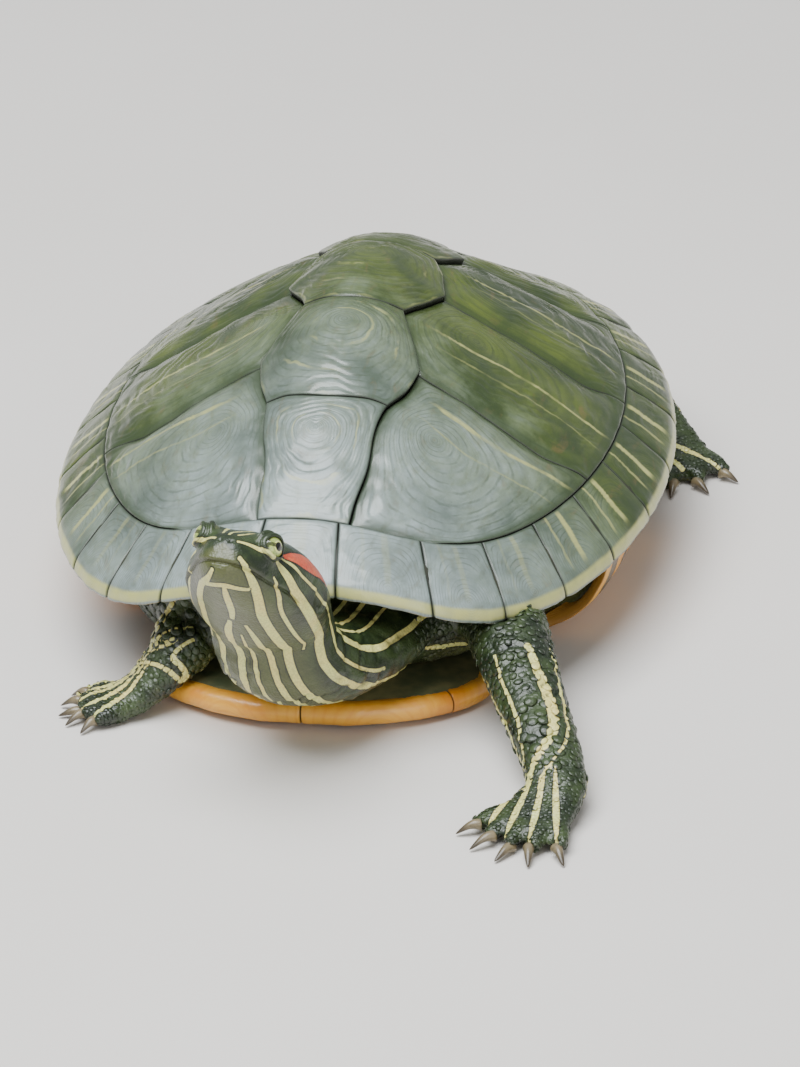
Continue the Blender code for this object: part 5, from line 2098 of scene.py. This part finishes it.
@dataclass(frozen=True)
class PlastronHorn:
    """Smooth yellow horn with one dark blotch on each plate."""

    name: str = "plastron_horn"
    yellow: tuple = (0.800, 0.400, 0.048)
    amber: tuple = (0.640, 0.220, 0.016)
    blotch: tuple = (0.040, 0.034, 0.020)
    seam: tuple = (0.10, 0.05, 0.012)
    along: float = 0.50  # where the blotch is, in shares of the plate
    across: float = 0.36

    def make(self) -> bpy.types.Material:
        """Return the material."""
        finish = Finish(self.name, roughness=0.36, coat_weight=0.30, coat_roughness=0.2)
        place = finish.place()
        u, v, _ = finish.kept_parts("plate")
        edge, growth = finish.kept("edge"), finish.kept("growth")
        cloud = finish.noise(place, 55.0, 5.0, 0.6)
        fine = finish.noise(place, 320.0, 3.0)
        finish.ground = finish.colour(cloud.step(0.40, 0.75), self.yellow, self.amber)
        ring = (growth * 60.0 + cloud * 8.0).sine().step(0.3, 1.0)
        finish.coat(ring * 0.25, self.amber)
        shape = (u - self.along) ** 2.0 * 6.0 + (v - self.across) ** 2.0 * 9.0
        spot = (shape + cloud * 0.5).step(0.62, 0.50)
        finish.coat(spot * 0.93, self.blotch)
        finish.coat(edge.step(0.55, 0.10) * 0.7, self.seam)
        relief = finish.bump((growth * 120.0 + cloud * 10.0).sine() * 0.5 + fine * 0.6, 0.00005, 0.7)
        return finish.made(normal=relief, roughness=(fine * 0.2 + cloud * 0.15 + 0.20).held())


@dataclass(frozen=True)
class ShellBone:
    """The shell's own surface, which shows dark in the seams."""

    name: str = "shell_bone"
    dark: tuple = (0.010, 0.013, 0.008)
    light: tuple = (0.030, 0.032, 0.018)

    def make(self) -> bpy.types.Material:
        """Return the material."""
        finish = Finish(self.name, roughness=0.6)
        place = finish.place()
        grain = finish.noise(place, 160.0, 4.0)
        finish.ground = finish.colour(grain.step(0.3, 0.7), self.dark, self.light)
        return finish.made(normal=finish.bump(grain, 0.0001, 0.6))


@dataclass(frozen=True)
class TurtleSkin:
    """Dark green skin with pale lines edged in black, the red patch behind the eye, fine grains and painted
    shade in the folds.
    """

    name: str = "turtle_skin"
    green: tuple = (0.040, 0.063, 0.019)
    dark: tuple = (0.010, 0.018, 0.007)
    belly: tuple = (0.120, 0.125, 0.036)
    pale: tuple = (0.620, 0.640, 0.230)
    cream: tuple = (0.700, 0.600, 0.200)
    red: tuple = (0.600, 0.070, 0.030)
    orange: tuple = (0.66, 0.13, 0.05)
    black: tuple = (0.008, 0.012, 0.006)
    grain: float = 1500.0

    def make(self) -> bpy.types.Material:
        """Return the material."""
        finish = Finish(self.name, roughness=0.42, coat_weight=0.22, coat_roughness=0.22)
        place = finish.place()
        cloud = finish.noise(place, 95.0, 5.0, 0.62)
        fine = finish.noise(place, 620.0, 3.0)
        grains = finish.cells(place, self.grain)
        finish.ground = finish.colour(cloud.step(0.36, 0.66), self.dark, self.green)
        finish.coat(finish.kept("below") * 0.55, self.belly)
        wobble = cloud * 0.36 - 0.18 + fine * 0.08 - 0.04
        across, apart, half = finish.kept_parts("line")
        off = across.absolute().most(apart) - half * 1.12 + wobble
        finish.coat(off.step(0.62, 0.22) * 0.85, self.black)
        line = finish.colour(cloud.step(0.3, 0.7), self.pale, self.cream)
        finish.coat(off.step(0.10, -0.14), line)
        across, apart, half = finish.kept_parts("ear")
        off = across.absolute().most(apart) - half + wobble
        finish.coat(off.step(0.85, 0.35), self.black)
        patch = finish.colour(fine.step(0.35, 0.7), self.red, self.orange)
        finish.coat(off.step(0.12, -0.14), patch)
        # Painted shade in the skin's folds: darker where the folds are deepest.
        finish.coat(finish.kept("crease").step(0.25, 0.95) * 0.7, self.black)
        finish.coat(grains.step(0.35, 0.75) * 0.18, self.dark)
        relief = finish.bump(grains, 0.00012, 0.9)
        relief = finish.bump(fine, 0.00010, 0.5, relief)
        return finish.made(normal=relief, roughness=(fine * 0.22 + cloud * 0.18 + 0.20).held())


@dataclass(frozen=True)
class EyeGlass:
    """A wet eye: a pale green iris crossed by a dark bar, round a black pupil."""

    iris: tuple = (0.42, 0.50, 0.12)
    rays: tuple = (0.16, 0.24, 0.06)
    ring: tuple = (0.72, 0.74, 0.28)
    bar: tuple = (0.020, 0.022, 0.012)
    white: tuple = (0.060, 0.075, 0.030)
    pupil: tuple = (0.002, 0.002, 0.002)

    def make(self) -> bpy.types.Material:
        """Return the material."""
        finish = Finish("eye_glass", roughness=0.12, coat_weight=1.0, coat_roughness=0.02, ior=1.38)
        x, y, _ = finish.kept_parts("look")
        out = (x * x + y * y) ** 0.5
        spokes = finish.joined(x / (out + 0.05) * 5.0, y / (out + 0.05) * 5.0, out * 3.0)
        rays = finish.noise(spokes, 2.2, 4.0, 0.7)
        finish.ground = finish.colour(rays.step(0.35, 0.70), self.iris, self.rays)
        finish.coat((out - 0.34).absolute().step(0.07, 0.02) * 0.8, self.ring)
        bar = y.absolute().step(0.16, 0.10) * out.step(0.20, 0.30) * rays.step(0.15, 0.45)
        finish.coat(bar * 0.9, self.bar)
        finish.coat(out.step(0.60, 0.70), self.white)
        finish.coat(out.step(0.30, 0.27), self.pupil)
        return finish.made()


@dataclass(frozen=True)
class ClawHorn:
    """Brown horn, darker towards the point."""

    root: tuple = (0.200, 0.160, 0.090)
    point: tuple = (0.055, 0.042, 0.026)
    streaks: tuple = (0.030, 0.024, 0.016)

    def make(self) -> bpy.types.Material:
        """Return the material."""
        finish = Finish("claw_horn_worn", roughness=0.35, coat_weight=0.25, coat_roughness=0.15)
        along = finish.kept("along")
        place = finish.place()
        streak = finish.noise(place, 700.0, 4.0, 0.6)
        finish.ground = finish.colour(along.step(0.05, 0.85), self.root, self.point)
        finish.coat(streak.step(0.45, 0.75) * 0.5, self.streaks)
        return finish.made(normal=finish.bump(streak, 0.00005, 0.6))


@dataclass
class View:
    """The camera and the studio: a pale floor, a wide soft sky and a weak fill."""

    azimuth: float = math.radians(10.49)
    elevation: float = math.radians(26.52)
    roll: float = math.radians(1.70)
    distance: float = 1.644
    lens: float = 185.0
    target: Vector = field(default_factory=lambda: Vector((0.012, -0.014, 0.015)))
    floor: tuple = ((0.66, 0.63, 0.59), (0.72, 0.69, 0.66))
    sky: tuple = (0.86, 0.88, 0.90)
    sky_strength: float = 0.44

    def axes(self) -> Matrix:
        """Return the camera's axes: its right, its up and its back."""
        sine, cosine = math.sin(self.azimuth), math.cos(self.azimuth)
        level, rise = math.cos(self.elevation), math.sin(self.elevation)
        back = Vector((sine * level, -cosine * level, rise))
        right = Vector((cosine, sine, 0))
        up = back.cross(right)
        tipped = right * math.cos(self.roll) - up * math.sin(self.roll)
        raised = right * math.sin(self.roll) + up * math.cos(self.roll)
        return Matrix((tipped, raised, back)).transposed()

    def build_camera(self) -> None:
        """Add the camera and make it the scene's."""
        data = bpy.data.cameras.new("camera")
        data.lens = self.lens
        data.clip_start = 0.01
        made = bpy.data.objects.new("camera", data)
        axes = self.axes()
        made.matrix_world = Matrix.Translation(self.target + axes.col[2] * self.distance) @ axes.to_4x4()
        bpy.context.scene.collection.objects.link(made)
        bpy.context.scene.camera = made

    @staticmethod
    def build_light(name: str, place: Sequence[float], size: float, power: float, colour: tuple) -> None:
        """Add a soft square light that faces the turtle."""
        data = bpy.data.lights.new(name, "AREA")
        data.size = size
        data.energy = power
        data.color = colour
        made = bpy.data.objects.new(name, data)
        made.location = place
        made.rotation_euler = (-Vector(place)).to_track_quat("-Z", "Y").to_euler()
        bpy.context.scene.collection.objects.link(made)

    def build_floor(self) -> None:
        """Add the pale floor, which reaches past every view."""
        mesh = bmesh.new()
        bmesh.ops.create_grid(mesh, x_segments=1, y_segments=1, size=4.0)
        floor = new_piece("floor", mesh)
        finish = Finish("floor_pale", roughness=0.9)
        finish.ground = finish.colour(finish.noise(finish.place(), 6.0), *self.floor)
        floor.data.materials.append(finish.made())

    def build(self) -> None:
        """Add the camera, the lights, the sky and the floor."""
        self.build_camera()
        self.build_light("sky_softbox", (-0.25, -0.45, 1.6), size=1.3, power=64.0, colour=(0.95, 0.98, 1.0))
        self.build_light("fill", (1.2, -1.8, 0.7), size=1.4, power=16.0, colour=(1.0, 0.97, 0.92))
        self.build_floor()
        world = bpy.data.worlds.new("studio")
        world.use_nodes = True
        background = world.node_tree.nodes["Background"]
        background.inputs["Color"].default_value = (*self.sky, 1.0)
        background.inputs["Strength"].default_value = self.sky_strength
        bpy.context.scene.world = world


def dress(piece: Piece, material: bpy.types.Material, slot: str, *nodes: str) -> None:
    """Finish a piece and fix it to the body.

    Args:
        piece: The piece, which is kept from going below the floor.
        material: Its material.
        slot: The record's slot that this stands for. Not used.
        nodes: The solids that the piece replaces.
    """
    piece.data.materials.clear()
    piece.data.materials.append(material)
    rows = to_rows(piece.data)
    rows[:, 2] = np.maximum(rows[:, 2], 0.0)
    from_rows(piece.data, rows)
    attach(piece, "root")
    if nodes:
        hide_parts(*nodes)
    log.info("%s: %d triangles", piece.name, triangle_count(piece))


def dress_shell(form: ShellForm) -> None:
    """Build and dress the upper and the lower shell."""
    upper = Carapace(form)
    plates = HornPlates("vertebral_horn").make()
    sides = PleuralHorn("pleural_horn").make()
    bone = ShellBone().make()
    dress(upper.build_vertebrals(), plates, "carapace_olive", "carapace")
    for side in (1, -1):
        dress(upper.build_pleurals(side), sides, "carapace_olive", "carapace")
    dress(upper.build_marginals(), MarginalHorn("marginal_horn").make(), "carapace_olive", "carapace")
    dress(upper.build_bone(), bone, "carapace_olive", "carapace")
    lower = Plastron(form)
    yellow = PlastronHorn().make()
    dress(lower.build_plates(), yellow, "plastron_yellow", "plastron")
    lining = ShellBone("plastron_lining", (0.060, 0.075, 0.032), (0.150, 0.140, 0.060)).make()
    dress(lower.build_core(), lining, "plastron_yellow", "plastron")
    bars = PlastronHorn("bridge_horn", along=0.5, across=0.62).make()
    dress(lower.build_bridges(), bars, "plastron_yellow", "bridge_left", "bridge_right")


def dress_flesh(form: ShellForm) -> None:
    """Build and dress the skin, the scales, the eyes and the claws."""
    head = HeadAxes.from_frame()
    chart = Chart(head)
    skin = Skin(form, head, chart)
    hide = skin.build()
    markings = Markings(chart, tree_of(hide.data))
    markings.paint(hide.data)
    finish = TurtleSkin().make()
    dress(hide, finish, "skin_green", *FLESH)
    for pocket in Plastron(form).build_pockets():
        markings.paint(pocket.data)
        dress(pocket, finish, "skin_green", "trunk")
    shown = ~skin.is_deep(to_rows(hide.data))
    coats = (
        Scales(Region.FORELEG_LEFT, -74),
        Scales(Region.FORELEG_RIGHT, -48),
        Scales(Region.HINDLEG_LEFT, -56),
        Scales(Region.HINDLEG_RIGHT, -62),
        Scales(Region.TAIL, -22, size=2.0, foot_size=2.0),
    )
    for coat in coats:
        dress(coat.build(hide.data, markings, shown), finish, "skin_green", *FLESH)
    glass = EyeGlass().make()
    for side, name in SIDES.items():
        eye = Eye(head, side)
        dress(eye.build_ball(), glass, "eye_green", "eye_" + name)
        lids = eye.build_lids()
        markings.paint(lids.data)
        dress(lids, finish, "skin_green", "head")
    horn = ClawHorn().make()
    for node in sorted(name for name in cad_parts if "_claw_" in name):
        dress(Claw(node).build(), horn, "claw_horn", node)


def main() -> None:
    """Build the turtle and the studio in order."""
    logging.basicConfig(level=logging.INFO, format="%(name)s: %(message)s")
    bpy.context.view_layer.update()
    View().build()
    form = ShellForm.from_frame()
    dress_shell(form)
    dress_flesh(form)


if __name__ == "__main__":
    main()
